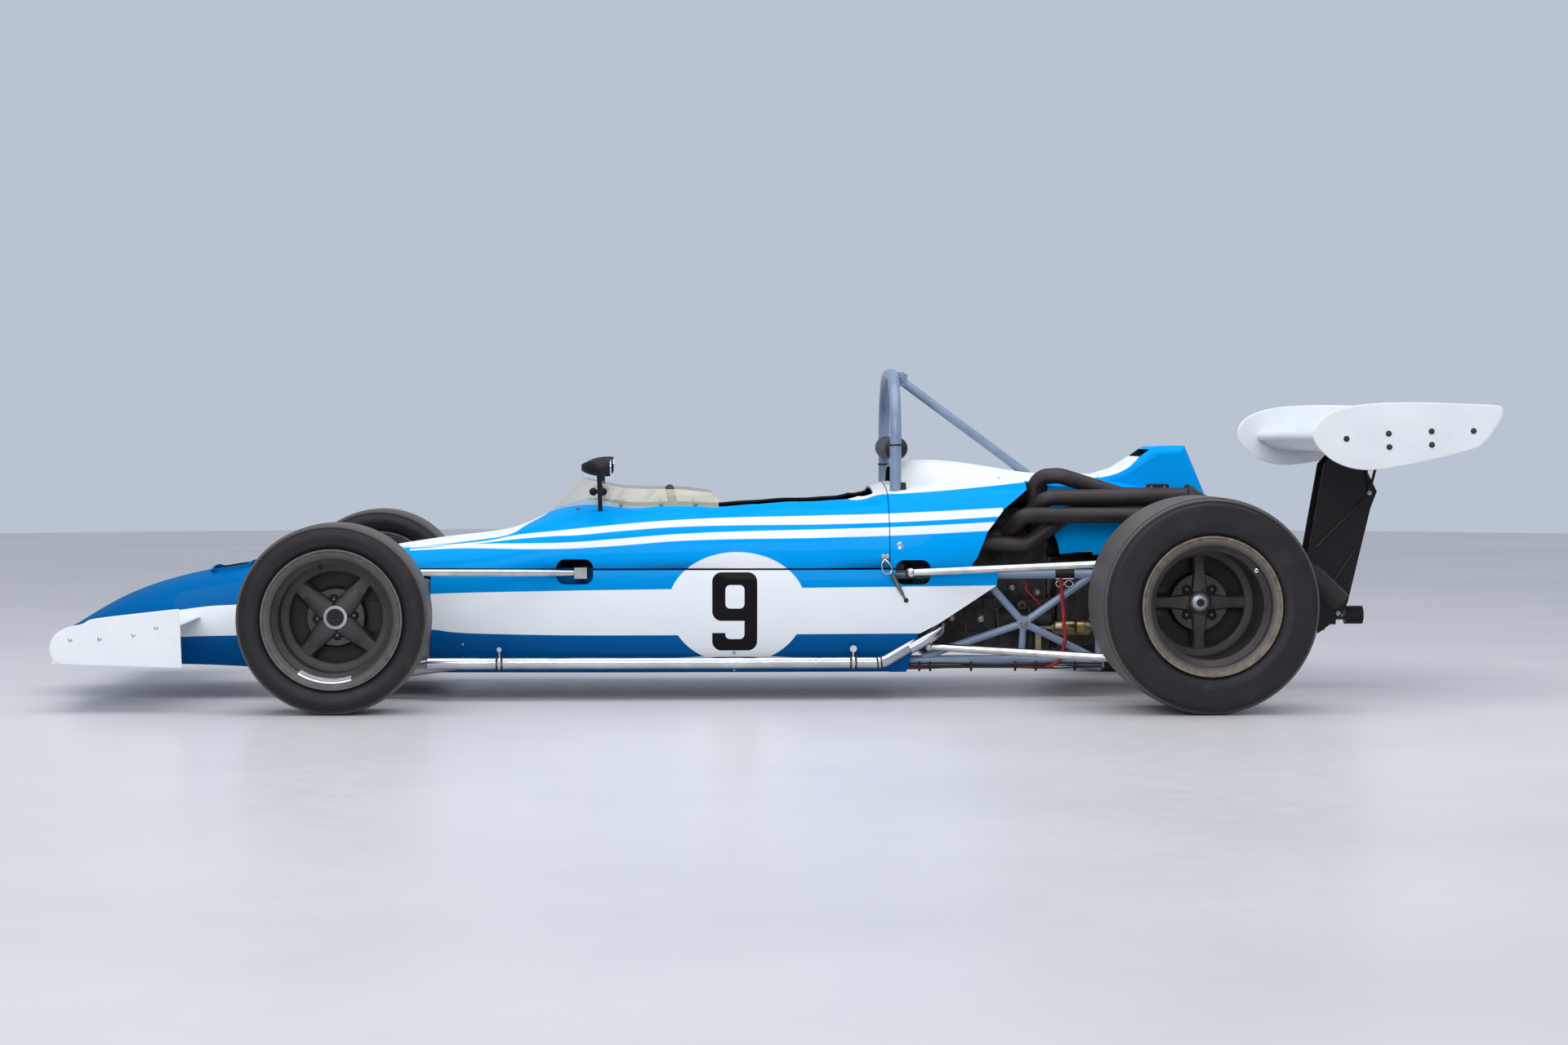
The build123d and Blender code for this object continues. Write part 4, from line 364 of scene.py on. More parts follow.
# Heights of the paint's edges along the car, from the nose to the tail.
BAND_TOP = [
    (-800, 172), (-412, 251), (-299, 259), (226, 290), (531, 298), (877, 303), (1235, 306), (1763, 311)
]
BAND_LOW = [
    (-800, 150), (-448, 171), (-299, 175), (229, 192), (273, 186), (420, 180), (881, 177),
    (1224, 179), (1552, 180),
]
UPPER_TOP = [
    (160, 415), (233, 420), (319, 427), (391, 436), (437, 446), (482, 453), (573, 462),
    (606, 466), (740, 479), (899, 491), (1320, 503), (1488, 508), (1778, 522),
]
UPPER_LOW = [
    (160, 413), (233, 417), (319, 422), (391, 431), (459, 439), (573, 448), (606, 449),
    (740, 461), (899, 472), (1320, 479), (1488, 484), (1778, 499),
]
LOWER_TOP = [
    (165, 410), (233, 415), (301, 421), (391, 426), (459, 427), (606, 431), (740, 441),
    (899, 453), (1320, 466), (1488, 471), (1778, 485),
]
LOWER_LOW = [
    (165, 406), (233, 410), (301, 413), (391, 413), (459, 412), (606, 414), (740, 422),
    (899, 434), (1320, 443), (1488, 448), (1778, 462),
]
TOP_EDGE = [
    (-180, 395), (100, 409), (155, 414), (338, 434), (431, 449), (477, 473), (539, 507),
    (600, 560), (1340, 560), (1372, 544), (1475, 560), (1509, 561), (1852, 590), (1891, 594),
    (2000, 597), (2085, 603), (2139, 617), (2193, 657), (2213, 681), (2230, 720),
]


def box_mask(tree, b, z, left, right, low, high, corner):
    """Rounded rectangle on the side: the distance past its inner corners is under the corner's radius."""
    parts = []
    for value, a, c in ((b, left, right), (z, low, high)):
        middle, half = (a + c) / 2000, (c - a) / 2000 - corner / 1000
        away = value
        for how, other in (("SUBTRACT", middle), ("ABSOLUTE", 0.0), ("SUBTRACT", half), ("MAXIMUM", 0.0)):
            away = add_node(tree, "Math", {0: away, 1: other}, operation=how)
        parts.append(away)
    vector = add_node(tree, "CombineXYZ", {"X": parts[0], "Y": parts[1]})
    length = add_node(tree, "VectorMath", {0: vector}, operation="LENGTH")
    return compare(tree, max(corner, 0.3) / 1000, length.outputs["Value"])


ROUNDEL = (1.057, 0.260)  # station and height of the roundel's centre, metres
ROUNDEL_REACH = (0.1874, 0.144, 0.163)  # its reach along, up and down
NUMBER_MIDDLE = 1.0505  # station of the number's middle
FLANK = 0.30  # roundel and number show only outside this distance from the centreline
SEAM = (0.3546, 0.3596)  # heights of the dark seam between the upper and lower shells
UPPER_SHELLS = 0.362  # height where the upper shells start
WELL = (0.215, 1.4535)  # stations of the cockpit well in the lower body
WELL_SIDE, WELL_FLOOR = 0.2515, 0.0835  # the well's half width and the height of its floor
# middle height of the shells at each station: their outer faces look away from it
SPINE = [(-800, 140), (-450, 190), (0, 215), (3200, 225)]

# the number's forms as (front, back, low, high, corner radius) on the left side, millimetres
LOOP, LOOP_HOLE = (989, 1112, 216, 349, 26), (1025, 1077, 250, 314, 13)
HOOK, HOOK_HOLE = (989, 1112, 134, 260, 26), (1025, 1077, 166, 227, 13)
HOOK_OPENING = (0.183, 0.216)  # heights of the gap between the hook's end and the loop


def start_number(tree, b, z, side, mirror):
    """Mask of the number 9, which reads the right way round on both sides of the car."""
    turned = add_node(tree, "Math", {0: b, 1: NUMBER_MIDDLE}, operation="SUBTRACT")
    turned = add_node(tree, "Math", {0: turned, 1: mirror}, operation="MULTIPLY")
    n = add_node(tree, "Math", {0: NUMBER_MIDDLE, 1: turned}, operation="SUBTRACT")
    loop = combine(tree, "SUBTRACT", box_mask(tree, n, z, *LOOP), box_mask(tree, n, z, *LOOP_HOLE))
    hook = combine(tree, "SUBTRACT", box_mask(tree, n, z, *HOOK), box_mask(tree, n, z, *HOOK_HOLE))
    low, high = HOOK_OPENING
    gap = combine(tree, "MULTIPLY", compare(tree, 1.025, n), compare(tree, z, low), compare(tree, high, z))
    # beside the loop only the stem is left of the hook
    hook = combine(
        tree, "MULTIPLY", combine(tree, "SUBTRACT", hook, gap),
        combine(tree, "MAXIMUM", compare(tree, n, 1.0765), compare(tree, high, z)),
    )
    return combine(tree, "MULTIPLY", combine(tree, "MAXIMUM", loop, hook), compare(tree, side, FLANK))


def inner_faces(tree, b, y, z, along, side, normal):
    """Mask of the faces that look at the inside of their panel, where no lacquer goes."""
    out_z = add_node(tree, "Math", {0: z, 1: painted_line(tree, along, SPINE)}, operation="SUBTRACT")
    outward = add_node(tree, "CombineXYZ", {"Y": y, "Z": out_z})
    facing = add_node(tree, "VectorMath", {0: normal, 1: outward}, operation="DOT_PRODUCT").outputs["Value"]
    inward = compare(tree, 0.0, facing, 0.002)
    upper = combine(tree, "MULTIPLY", compare(tree, z, UPPER_SHELLS), inward)
    well = combine(
        tree, "MULTIPLY", compare(tree, WELL_SIDE, side), compare(tree, z, WELL_FLOOR),
        compare(tree, b, WELL[0]), compare(tree, WELL[1], b), compare(tree, UPPER_SHELLS, z),
    )
    lower = combine(tree, "MULTIPLY", inward, compare(tree, z, 0.09))
    return combine(tree, "MAXIMUM", upper, well, lower)


def body_lacquer(name, paint):
    """Azure lacquer with white bands, a roundel and a black number, in the piece's own coordinates.

    The blue is lighter facing up and back and darker facing down and forward, low on the sides and on the
    nose: painted light and shade. Inner faces are bare panel in a dark grey that is partly painted shade.
    """
    tree, shader, coords = new_material(name)
    xyz = add_node(tree, "SeparateXYZ", {0: coords["Object"]})
    x, y, z = xyz.outputs
    b = add_node(tree, "Math", {0: x, 1: AXLE_X}, operation="SUBTRACT")
    along = add_node(tree, "MapRange", {"Value": b, "From Min": ALONG[0], "From Max": ALONG[1]})
    side = add_node(tree, "Math", {0: y}, operation="ABSOLUTE")
    mirror = add_node(tree, "Math", {0: y}, operation="SIGN")

    def between(low, high):
        over = compare(tree, z, painted_line(tree, along, low))
        under = compare(tree, painted_line(tree, along, high), z)
        return combine(tree, "MULTIPLY", over, under)

    behind = [compare(tree, b, 0.160), compare(tree, 1.790, b)]
    band = between(BAND_LOW, BAND_TOP)
    stripes = combine(tree, "MAXIMUM", between(UPPER_LOW, UPPER_TOP), between(LOWER_LOW, LOWER_TOP))
    stripes = combine(tree, "MULTIPLY", stripes, *behind, compare(tree, side, 0.14))
    # roundel: an ellipse that is deeper below its centre
    low_half = compare(tree, ROUNDEL[1], z, 0.0002)
    stretch = add_node(
        tree, "MapRange",
        {"Value": low_half, "To Min": 1 / ROUNDEL_REACH[1], "To Max": 1 / ROUNDEL_REACH[2]},
    )
    across = add_node(tree, "Math", {0: b, 1: ROUNDEL[0]}, operation="SUBTRACT")
    across = add_node(tree, "Math", {0: across, 1: 1 / ROUNDEL_REACH[0]}, operation="MULTIPLY")
    tall = add_node(tree, "Math", {0: z, 1: ROUNDEL[1]}, operation="SUBTRACT")
    tall = add_node(tree, "Math", {0: tall, 1: stretch}, operation="MULTIPLY")
    pair = add_node(tree, "CombineXYZ", {"X": across, "Y": tall})
    round_off = add_node(tree, "VectorMath", {0: pair}, operation="LENGTH").outputs["Value"]
    roundel = combine(tree, "MULTIPLY", compare(tree, 1.0, round_off, 0.005), compare(tree, side, FLANK))
    top = combine(
        tree, "MULTIPLY", compare(tree, z, painted_line(tree, along, TOP_EDGE)), compare(tree, b, -0.180)
    )
    # the lid and the sides of the scoop stay blue
    scoop = combine(tree, "MULTIPLY", compare(tree, b, 2.232), compare(tree, 2.5, b))
    top = combine(tree, "SUBTRACT", top, scoop)
    white = combine(tree, "MAXIMUM", band, stripes, roundel, top)

    number = start_number(tree, b, z, side, mirror)
    normal = add_node(tree, "NewGeometry").outputs["Normal"]
    inside = inner_faces(tree, b, y, z, along, side, normal)

    # painted light and shade by facing: brighter facing up and back, deeper facing down and forward
    face = add_node(tree, "SeparateXYZ", {0: normal}).outputs
    painted_facing_light = add_node(tree, "Math", {0: face[0], 1: 0.8, 2: face[2]}, operation="MULTIPLY_ADD")
    lift = add_node(
        tree, "MapRange",
        {"Value": painted_facing_light, "From Min": -0.4, "From Max": 0.02}, interpolation_type="SMOOTHSTEP",
    )
    # painted shade: the nose is a deeper blue
    shade = add_node(tree, "MapRange", {"Value": b, "From Min": -0.32, "From Max": 0.1, "To Min": 0.3})
    # and painted shade deepens the sides towards the floor
    low_sides_painted_shade = add_node(tree, "MapRange", {"Value": z, "From Min": 0.16, "From Max": 0.39, "To Min": 0.12})
    lift = combine(tree, "MULTIPLY", lift, shade, low_sides_painted_shade)
    # the lit and the shaded blue of the one lacquer, mixed by the painted light and shade above
    blue = add_node(
        tree, "Mix",
        {"Factor": lift, "A": linear(paint.lacquer_painted_shade), "B": linear(paint.lacquer_painted_lit)}, data_type="RGBA",
    )
    flake = add_node(tree, "TexVoronoi", {"Vector": coords["Object"], "Scale": 900.0})
    spark = add_node(tree, "MapRange", {"Value": flake.outputs["Color"], "To Min": 0.97, "To Max": 1.03})
    blue = add_node(tree, "VectorMath", {0: blue, "Scale": spark}, operation="SCALE")
    dust = add_node(tree, "TexNoise", {"Vector": coords["Object"], "Scale": 6.0, "Detail": 4.0})
    pale = add_node(
        tree, "Mix",
        {"Factor": dust.outputs["Fac"], "A": linear(paint.bands), "B": linear("#DCE2E8")}, data_type="RGBA",
    )
    colour = add_node(tree, "Mix", {"Factor": white, "A": blue, "B": pale}, data_type="RGBA")
    colour = add_node(
        tree, "Mix", {"Factor": number, "A": colour, "B": linear(paint.number)}, data_type="RGBA"
    )
    # the seam between the shells and the joint of cowl and cover, as dark hairlines
    seam = combine(
        tree, "MULTIPLY", compare(tree, z, SEAM[0]), compare(tree, SEAM[1], z), compare(tree, b, -0.29),
        compare(tree, side, 0.26),
    )
    joint = combine(
        tree, "MULTIPLY", compare(tree, b, SPLIT - 0.0011), compare(tree, SPLIT + 0.0011, b),
        compare(tree, z, 0.357),
    )
    # inner faces in dark grey: the bare panel's own colour, deepened as painted shade
    colour = add_node(
        tree, "Mix", {"Factor": inside, "A": colour, "B": linear("#26282C")}, data_type="RGBA"
    )
    colour = add_node(
        tree, "Mix",
        {"Factor": combine(tree, "MAXIMUM", seam, joint), "A": colour, "B": linear("#08090B")},
        data_type="RGBA",
    )
    inside = combine(tree, "MAXIMUM", inside, seam, joint)
    painted = combine(tree, "SUBTRACT", 1.0, inside)
    rough = add_node(tree, "MapRange", {"Value": painted, "To Min": 0.65, "To Max": 0.38})
    coat = add_node(tree, "MapRange", {"Value": painted, "To Max": 0.09})
    put(
        shader, Base_Color=colour, Roughness=rough, Specular_IOR_Level=0.0, Coat_Weight=coat,
        Coat_Roughness=0.05,
    )


def rim_casting(name, centre, lip_code):
    """Cast magnesium gone dull brown, with the lip worn to bright metal at the beads' radius."""
    tree, shader, coords = worn(name, "#4B4647", "#373334", 0.52, 0.35, grain=420, mottle=12, bump=0.2)
    mix = shader.inputs["Base Color"].links[0].from_socket
    flat = add_node(
        tree, "VectorMath", {0: coords["Object"], 1: (-centre[0], 0.0, -centre[1])}, operation="ADD"
    )
    ring = add_node(tree, "VectorMath", {0: flat, 1: (1.0, 0.0, 1.0)}, operation="MULTIPLY")
    radius = add_node(tree, "VectorMath", {0: ring}, operation="LENGTH").outputs["Value"]
    rub = add_node(
        tree, "TexNoise", {"Vector": coords["Object"], "Scale": 55.0, "Detail": 6.0, "Roughness": 0.7}
    ).outputs["Fac"]
    edge = add_node(tree, "MapRange", {"Value": radius, "From Min": 0.158, "From Max": 0.178})
    wear = add_node(tree, "MapRange", {"Value": rub, "From Min": 0.3, "From Max": 0.62, "To Min": 0.25})
    mask = combine(tree, "MULTIPLY", edge, wear)
    colour = add_node(tree, "Mix", {"Factor": mask, "A": mix, "B": linear(lip_code)}, data_type="RGBA")
    put(shader, Base_Color=colour)


def tyre_rubber(name):
    """Racing rubber: charcoal walls with brown scuffs, and a tread scrubbed to dusty grey.

    V of the piece's UV runs across the section, so the tread is the middle of it.
    """
    tree, shader, coords = worn(
        name, "#201E23", "#18171A", 0.5, 0.0, grain=260, mottle=16, bump=0.12, Specular_IOR_Level=0.3
    )
    mix = shader.inputs["Base Color"].links[0].from_socket
    uv = add_node(tree, "SeparateXYZ", {0: coords["UV"]})
    middle = add_node(tree, "Math", {0: uv.outputs["Y"], 1: 0.488}, operation="SUBTRACT")
    middle = add_node(tree, "Math", {0: middle}, operation="ABSOLUTE")
    tread = add_node(tree, "MapRange", {"Value": middle, "From Min": 0.136, "From Max": 0.112})
    grit = add_node(
        tree, "TexNoise", {"Vector": coords["Object"], "Scale": 170.0, "Detail": 8.0, "Roughness": 0.75}
    ).outputs["Fac"]
    dusty = add_node(
        tree, "Mix", {"Factor": grit, "A": linear("#2E2B2A"), "B": linear("#6B645E")}, data_type="RGBA"
    )
    colour = add_node(tree, "Mix", {"Factor": tread, "A": mix, "B": dusty}, data_type="RGBA")
    patch = add_node(
        tree, "TexNoise", {"Vector": coords["Object"], "Scale": 9.0, "Detail": 5.0, "Roughness": 0.65}
    ).outputs["Fac"]
    brown = add_node(tree, "MapRange", {"Value": patch, "From Min": 0.55, "From Max": 0.75, "To Max": 0.3})
    wall = combine(tree, "SUBTRACT", 1.0, tread)
    brown = combine(tree, "MULTIPLY", brown, wall)
    colour = add_node(tree, "Mix", {"Factor": brown, "A": colour, "B": linear("#5B4636")}, data_type="RGBA")
    put(shader, Base_Color=colour)


def webbing(name, code, dark):
    """Woven nylon strap: a herringbone of 2 mm ribs across the strap, which the eye reads as cloth."""
    tree, shader, coords = new_material(name)
    wave = add_node(
        tree, "TexWave",
        {"Vector": coords["Object"], "Scale": 160.0, "Distortion": 1.2, "Detail": 1.0}, bands_direction="Z",
    )
    mix = add_node(
        tree, "Mix", {"Factor": wave.outputs["Fac"], "A": linear(code), "B": linear(dark)}, data_type="RGBA"
    )
    relief = add_node(tree, "Bump", {"Height": wave.outputs["Fac"], "Strength": 0.5, "Distance": 0.0006})
    put(shader, Base_Color=mix, Roughness=0.8, Normal=relief.outputs["Normal"], Sheen_Weight=0.3)


def clear_acrylic(name):
    """Clear acrylic sheet, a little yellowed: see-through face on, brightly reflecting along the bends."""
    tree, shader, coords = new_material(name)
    haze = add_node(
        tree, "TexNoise", {"Vector": coords["Object"], "Scale": 12.0, "Detail": 3.0}
    ).outputs["Fac"]
    alpha = add_node(tree, "MapRange", {"Value": haze, "To Min": 0.24, "To Max": 0.34})
    put(shader, Base_Color=linear("#E4DDC2"), Roughness=0.06, Alpha=alpha, IOR=1.49, Specular_IOR_Level=0.8)


def make_materials(paint):
    """All finishes of the car, named for what they are made of."""
    # metallic lacquer over aluminium and laminate: deep colour with little gloss of its own
    body_lacquer("azure lacquer and white bands", paint)
    # sprayed white enamel on sheet: clean and even, with a soft gloss
    worn(
        "white enamel", "#E8ECEF", "#DDE3E8", 0.3, grain=60, mottle=7, bump=0.02, Coat_Weight=0.6,
        Coat_Roughness=0.1,
    )
    # stove enamel on tube: slate blue, soft gloss
    worn(
        "slate blue enamel", paint.enamel, "#6B7C95", 0.36, grain=200, mottle=12, bump=0.06,
        Coat_Weight=0.4, Coat_Roughness=0.15,
    )
    # cast magnesium, brown with age: dull and grainy, its lips rubbed to bare metal
    rim_casting("cast magnesium front", (AXLE_X, 0.248), "#6C6865")
    rim_casting("cast magnesium rear", (AXLE_X + 2.27, 0.282), "#8A8072")
    # the same casting where nothing rubs it: dark and dull
    worn("cast magnesium", "#46423E", "#2E2B29", 0.55, 0.5, grain=380, mottle=28, bump=0.25)
    # slick tyre: charcoal walls, dusty tread
    tyre_rubber("tyre rubber")
    # nickel plate: bright and nearly smooth, with faint clouding
    worn("nickel plate", "#D6D4D2", "#A9A7A6", 0.16, 1.0, grain=500, mottle=18, bump=0.02)
    # polished aluminium tube: bright, with long soft streaks
    worn(
        "bright aluminium pipe", "#C9CBD0", "#A4A6AC", 0.22, 1.0, grain=320, mottle=6, bump=0.01,
        spread=0.06,
    )
    # cast iron and blacked steel: almost black, with a grey sheen
    worn("dark cast iron", "#191818", "#100F10", 0.5, 0.3, grain=350, mottle=20, bump=0.15)
    # turned steel: grey metal with fine clouded tool marks
    worn("turned steel", "#8E8C8A", "#5C5A58", 0.32, 1.0, grain=420, mottle=25, bump=0.08)
    # sand cast aluminium under a film of oil: grey, mottled and rough
    worn("oily aluminium casting", "#4B4846", "#211F1E", 0.5, 0.65, grain=240, mottle=22, bump=0.4)
    # sand cast magnesium: browner and duller than aluminium
    worn("magnesium gearbox casting", "#57524D", "#2C2926", 0.52, 0.6, grain=240, mottle=20, bump=0.4)
    # exhaust coated matt black, browned by heat
    worn("heat browned exhaust", "#393133", "#241F1F", 0.5, 0.3, grain=300, mottle=9, bump=0.2)
    # brushed satin paint: black with a broad, weak shine
    worn(
        "satin black paint", "#0D0C0E", "#080708", 0.42, grain=220, mottle=15, bump=0.06,
        Specular_IOR_Level=0.3,
    )
    # moulded rubber: black and matt
    worn("black rubber", "#1B1A1A", "#121212", 0.62, grain=300, mottle=30, bump=0.15)
    # extruded rubber sheath: strong red with a soft shine
    worn("red rubber cable", paint.cable, "#7C0E12", 0.42, grain=300, mottle=30, bump=0.1)
    # anodised aluminium: pale straw metal, even and smooth
    worn("gold anodised aluminium", "#B0A68A", "#857B60", 0.32, 1.0, grain=400, mottle=30, bump=0.05)
    # machined brass gone dull: warm yellow metal
    worn("brass", "#B29A63", "#7D6A40", 0.35, 1.0, grain=400, mottle=30, bump=0.05)
    # embossed vinyl: black with a pebbled grain that breaks the shine
    worn("black vinyl", "#1C1C1F", "#121214", 0.5, grain=700, mottle=20, bump=0.5)
    # brushed upholstery cloth: dark grey, with a pale fuzz at its edges
    worn("charcoal cloth", "#2A2B2F", "#1B1C1F", 0.85, grain=900, mottle=18, bump=0.6, Sheen_Weight=0.4)
    # rolled sheet: light grey metal with a broad, dull shine
    worn("bare aluminium sheet", "#A9ACB0", "#8C8F94", 0.38, 0.9, grain=300, mottle=9, bump=0.05)
    # woven nylon: dark blue ribs that read as cloth
    webbing("navy webbing", paint.straps, "#16224A")
    # moulded acrylic: see-through with a cream cast
    clear_acrylic("clear acrylic")
    # silvered glass: a plain bright mirror
    worn("mirror glass", "#D5DADF", "#CBD1D6", 0.04, 1.0, grain=50, mottle=5, bump=0.0, spread=0.02)
    # printed dial under glass: flat black
    worn("black dial face", "#0D0D0F", "#08080A", 0.2, grain=200, mottle=20, bump=0.0, spread=0.05)
    # aluminium foil tape: crumpled, pale and shiny
    worn("silver foil tape", "#F0F0F2", "#D0D0D4", 0.3, 0.35, grain=500, mottle=60, bump=0.3)
    # printed marks: flat off-white
    worn("white dial marks", "#E8E6DC", "#D8D6CC", 0.5, grain=200, mottle=20, bump=0.0)


FINISHES = {
    "azure lacquer and white bands": ["lower_body", "cockpit_cowl", "nose_cone", "engine_cover"],
    "white enamel": ["nose_fins", "nose_plates", "rear_wing", "wing_plates"],
    "slate blue enamel": ["roll_hoop", "roll_stay", "rear_frame", "front_frame"],
    "cast magnesium front": ["rim_front_left", "rim_front_right"],
    "cast magnesium rear": ["rim_rear_left", "rim_rear_right"],
    "cast magnesium": ["rear_uprights"],
    "dark cast iron": [
        "hub_front_left", "hub_front_right", "hub_rear_left", "hub_rear_right", "knuckle_left",
        "knuckle_right",
    ],
    "turned steel": ["rack", "steering_shaft", "half_shaft_left", "half_shaft_right", "gear_lever"],
    "nickel plate": ["front_links", "radius_rods", "rear_links"],
    "bright aluminium pipe": ["water_pipes"],
    "bare aluminium sheet": ["radiator"],
    "oily aluminium casting": ["engine"],
    "magnesium gearbox casting": ["gearbox"],
    "heat browned exhaust": ["exhaust"],
    "satin black paint": ["mirrors", "wing_pylons", "dash_panel", "tail_lamp"],
    "mirror glass": ["mirror_faces"],
    "red rubber cable": ["battery_cable"],
    "gold anodised aluminium": ["fuel_filter"],
    "clear acrylic": ["windscreen"],
    "black vinyl": ["steering_wheel"],
}


# ---------------------------------------------------------------- settings
def colour_property(name, description, code):
    """Colour of a finish as a property, with its default as a hex code."""
    return bpy.props.FloatVectorProperty(
        name=name, description=description, default=linear(code), size=4, min=0.0, max=1.0, subtype="COLOR"
    )


class RacerSettings(bpy.types.PropertyGroup):
    """Sizes of the car's visible pieces."""

    tyre_turns: bpy.props.IntProperty(
        name="Tyre facets", description="Facets around each tyre", default=160, min=24, max=360
    )
    rib_depth: bpy.props.FloatProperty(
        name="Rib depth", description="Depth of the moulded lines in the tyre walls", default=0.0012,
        unit="LENGTH", subtype="DISTANCE",
    )
    spring_turns: bpy.props.FloatProperty(
        name="Spring turns", description="Turns of each suspension spring", default=8.5, min=2.0, max=20.0
    )
    spring_wire: bpy.props.FloatProperty(
        name="Spring wire", description="Radius of the springs' wire", default=0.0045, unit="LENGTH",
        subtype="DISTANCE",
    )
    webbing_width: bpy.props.FloatProperty(
        name="Webbing width", description="Width of the harness straps", default=0.046, unit="LENGTH",
        subtype="DISTANCE",
    )
    cable_radius: bpy.props.FloatProperty(
        name="Cable radius", description="Radius of the thin cables in the engine bay", default=0.0028,
        unit="LENGTH", subtype="DISTANCE",
    )


class PaintSettings(bpy.types.PropertyGroup):
    """Colours of the car's finishes."""

    # the lit and the shaded blue of the one azure lacquer: the body's painted light and shade mix them
    lacquer_painted_lit: colour_property("Lacquer, upper", "Azure lacquer high on the body", "#0098E8")
    lacquer_painted_shade: colour_property(
        "Lacquer, lower", "Azure lacquer low on the sides and on the nose", "#004D8C"
    )
    bands: colour_property("Bands", "White of the bands and the roundel", "#E6EAEE")
    number: colour_property("Number", "Black of the start number", "#17171A")
    enamel: colour_property("Frame enamel", "Enamel of the roll hoop and the frame tubes", "#7D8FA9")
    straps: colour_property("Harness", "Woven straps of the harness", "#27396B")
    cable: colour_property("Battery cable", "Rubber of the battery cable", "#A31419")


class StudioSettings(bpy.types.PropertyGroup):
    """Light and floor of the studio."""

    key_power: bpy.props.FloatProperty(
        name="Top light", description="Power of the soft light overhead", default=165.0, unit="POWER"
    )
    fill_power: bpy.props.FloatProperty(
        name="Front light", description="Power of the soft light beside the camera", default=185.0,
        unit="POWER",
    )
    world_level: bpy.props.FloatProperty(
        name="Room light", description="Strength of the pale room around the car", default=0.68, min=0.0,
        max=5.0,
    )


class RACER_OT_finishes(bpy.types.Operator):
    """Make the finishes and put them on the CAD nodes"""

    bl_idname = "racer.finishes"
    bl_label = "Paint the car"
    bl_options = {"REGISTER", "UNDO"}

    def execute(self, context):
        make_materials(context.scene.paint)
        for material, nodes in FINISHES.items():
            for name in nodes:
                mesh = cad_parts[name].data
                mesh.materials.clear()
                mesh.materials.append(bpy.data.materials[material])
        return {"FINISHED"}


# ---------------------------------------------------------------- wheels
def wheel_centre(corner):
    """Centre of a wheel's axle line: station, height, side, tyre radius, outer face and width."""
    front = "front" in corner
    side = LEFT if "left" in corner else RIGHT
    if front:
        return 0.0, 248.0, side, 248.0, 800.0, 215.0
    return WHEELBASE, 282.0, side, 282.0, 885.0, 330.0


# spoke's half width at each radius
FRONT_SPOKE = [(27, 26), (50, 24), (80, 21), (110, 16), (130, 14.5), (143, 19)]
REAR_SPOKE = [(27, 20), (50, 16.5), (80, 14), (110, 12.5), (130, 13), (143, 17)]
# distances of the rims' web faces and the hubs' ends from the centreline
WEB_FACE, SPOKE_FACE, HUB_END = 648.0, 672.0, 686.0
STUD_RADIUS = 47.5  # of the circle that the wheel nuts stand on
CORNERS = ["front_left", "front_right", "rear_left", "rear_right"]


class RACER_OT_tyres(bpy.types.Operator):
    """Mould the four slick tyres with their shoulder ribs"""

    bl_idname = "racer.tyres"
    bl_label = "Tyres"
    bl_options = {"REGISTER", "UNDO"}

    def execute(self, context):
        settings = context.scene.racer
        for corner in CORNERS:
            b, z, side, radius, outer, width = wheel_centre(corner)
            # half section from the bead to the crown: inset from the tyre's face, radius
            half = np.array(
                [
                    (16.5, 165.6), (16.2, 176), (14, 184), (9, 190), (4, 198), (1, 208), (0.3, 218),
                    (1.5, radius - 25), (4.5, radius - 17), (8, radius - 11.5), (13, radius - 6),
                    (21, radius - 2.2), (34, radius - 0.6), (width / 2, radius - 0.1),
                ]
            )
            wall = curve(half, 8)
            span = np.linalg.norm(np.diff(wall, axis=0), axis=1)
            run = np.concatenate([[0], np.cumsum(span)])
            reach = radius - wall[:, 1]
            # moulded lines: a groove under the shoulder and two fine ridges in the wall
            depth = settings.rib_depth * 1000
            dent = depth * 1.6 * np.exp(-(((reach - 13.5) / 1.6) ** 2))
            ridge = depth * 0.5 * (
                np.exp(-(((reach - 36) / 1.2) ** 2)) + np.exp(-(((wall[:, 1] - 196) / 1.2) ** 2))
            )
            inset = np.maximum(wall[:, 0] + (dent - ridge) * (run > 12), 0.05)
            line = np.stack([inset, wall[:, 1] - 0.4 * dent], 1)
            section = np.concatenate([line, (line * [-1, 1] + [width, 0])[::-1][1:]])
            inner = [(width - 20, 165.6), (width - 26, 172), (26, 172), (20, 165.6)]
            section = np.concatenate([section, inner, section[:1]])
            profile = np.stack([outer - section[:, 0], section[:, 1]], 1)
            part = lathe(profile, (b, 0, z), (0, side, 0), settings.tyre_turns)
            obj = make_object(
                f"{corner}_tyre", part, "tyre rubber", f"wheel_{corner}", [f"tyre_{corner}"], sharp=60
            )
        return {"FINISHED"}


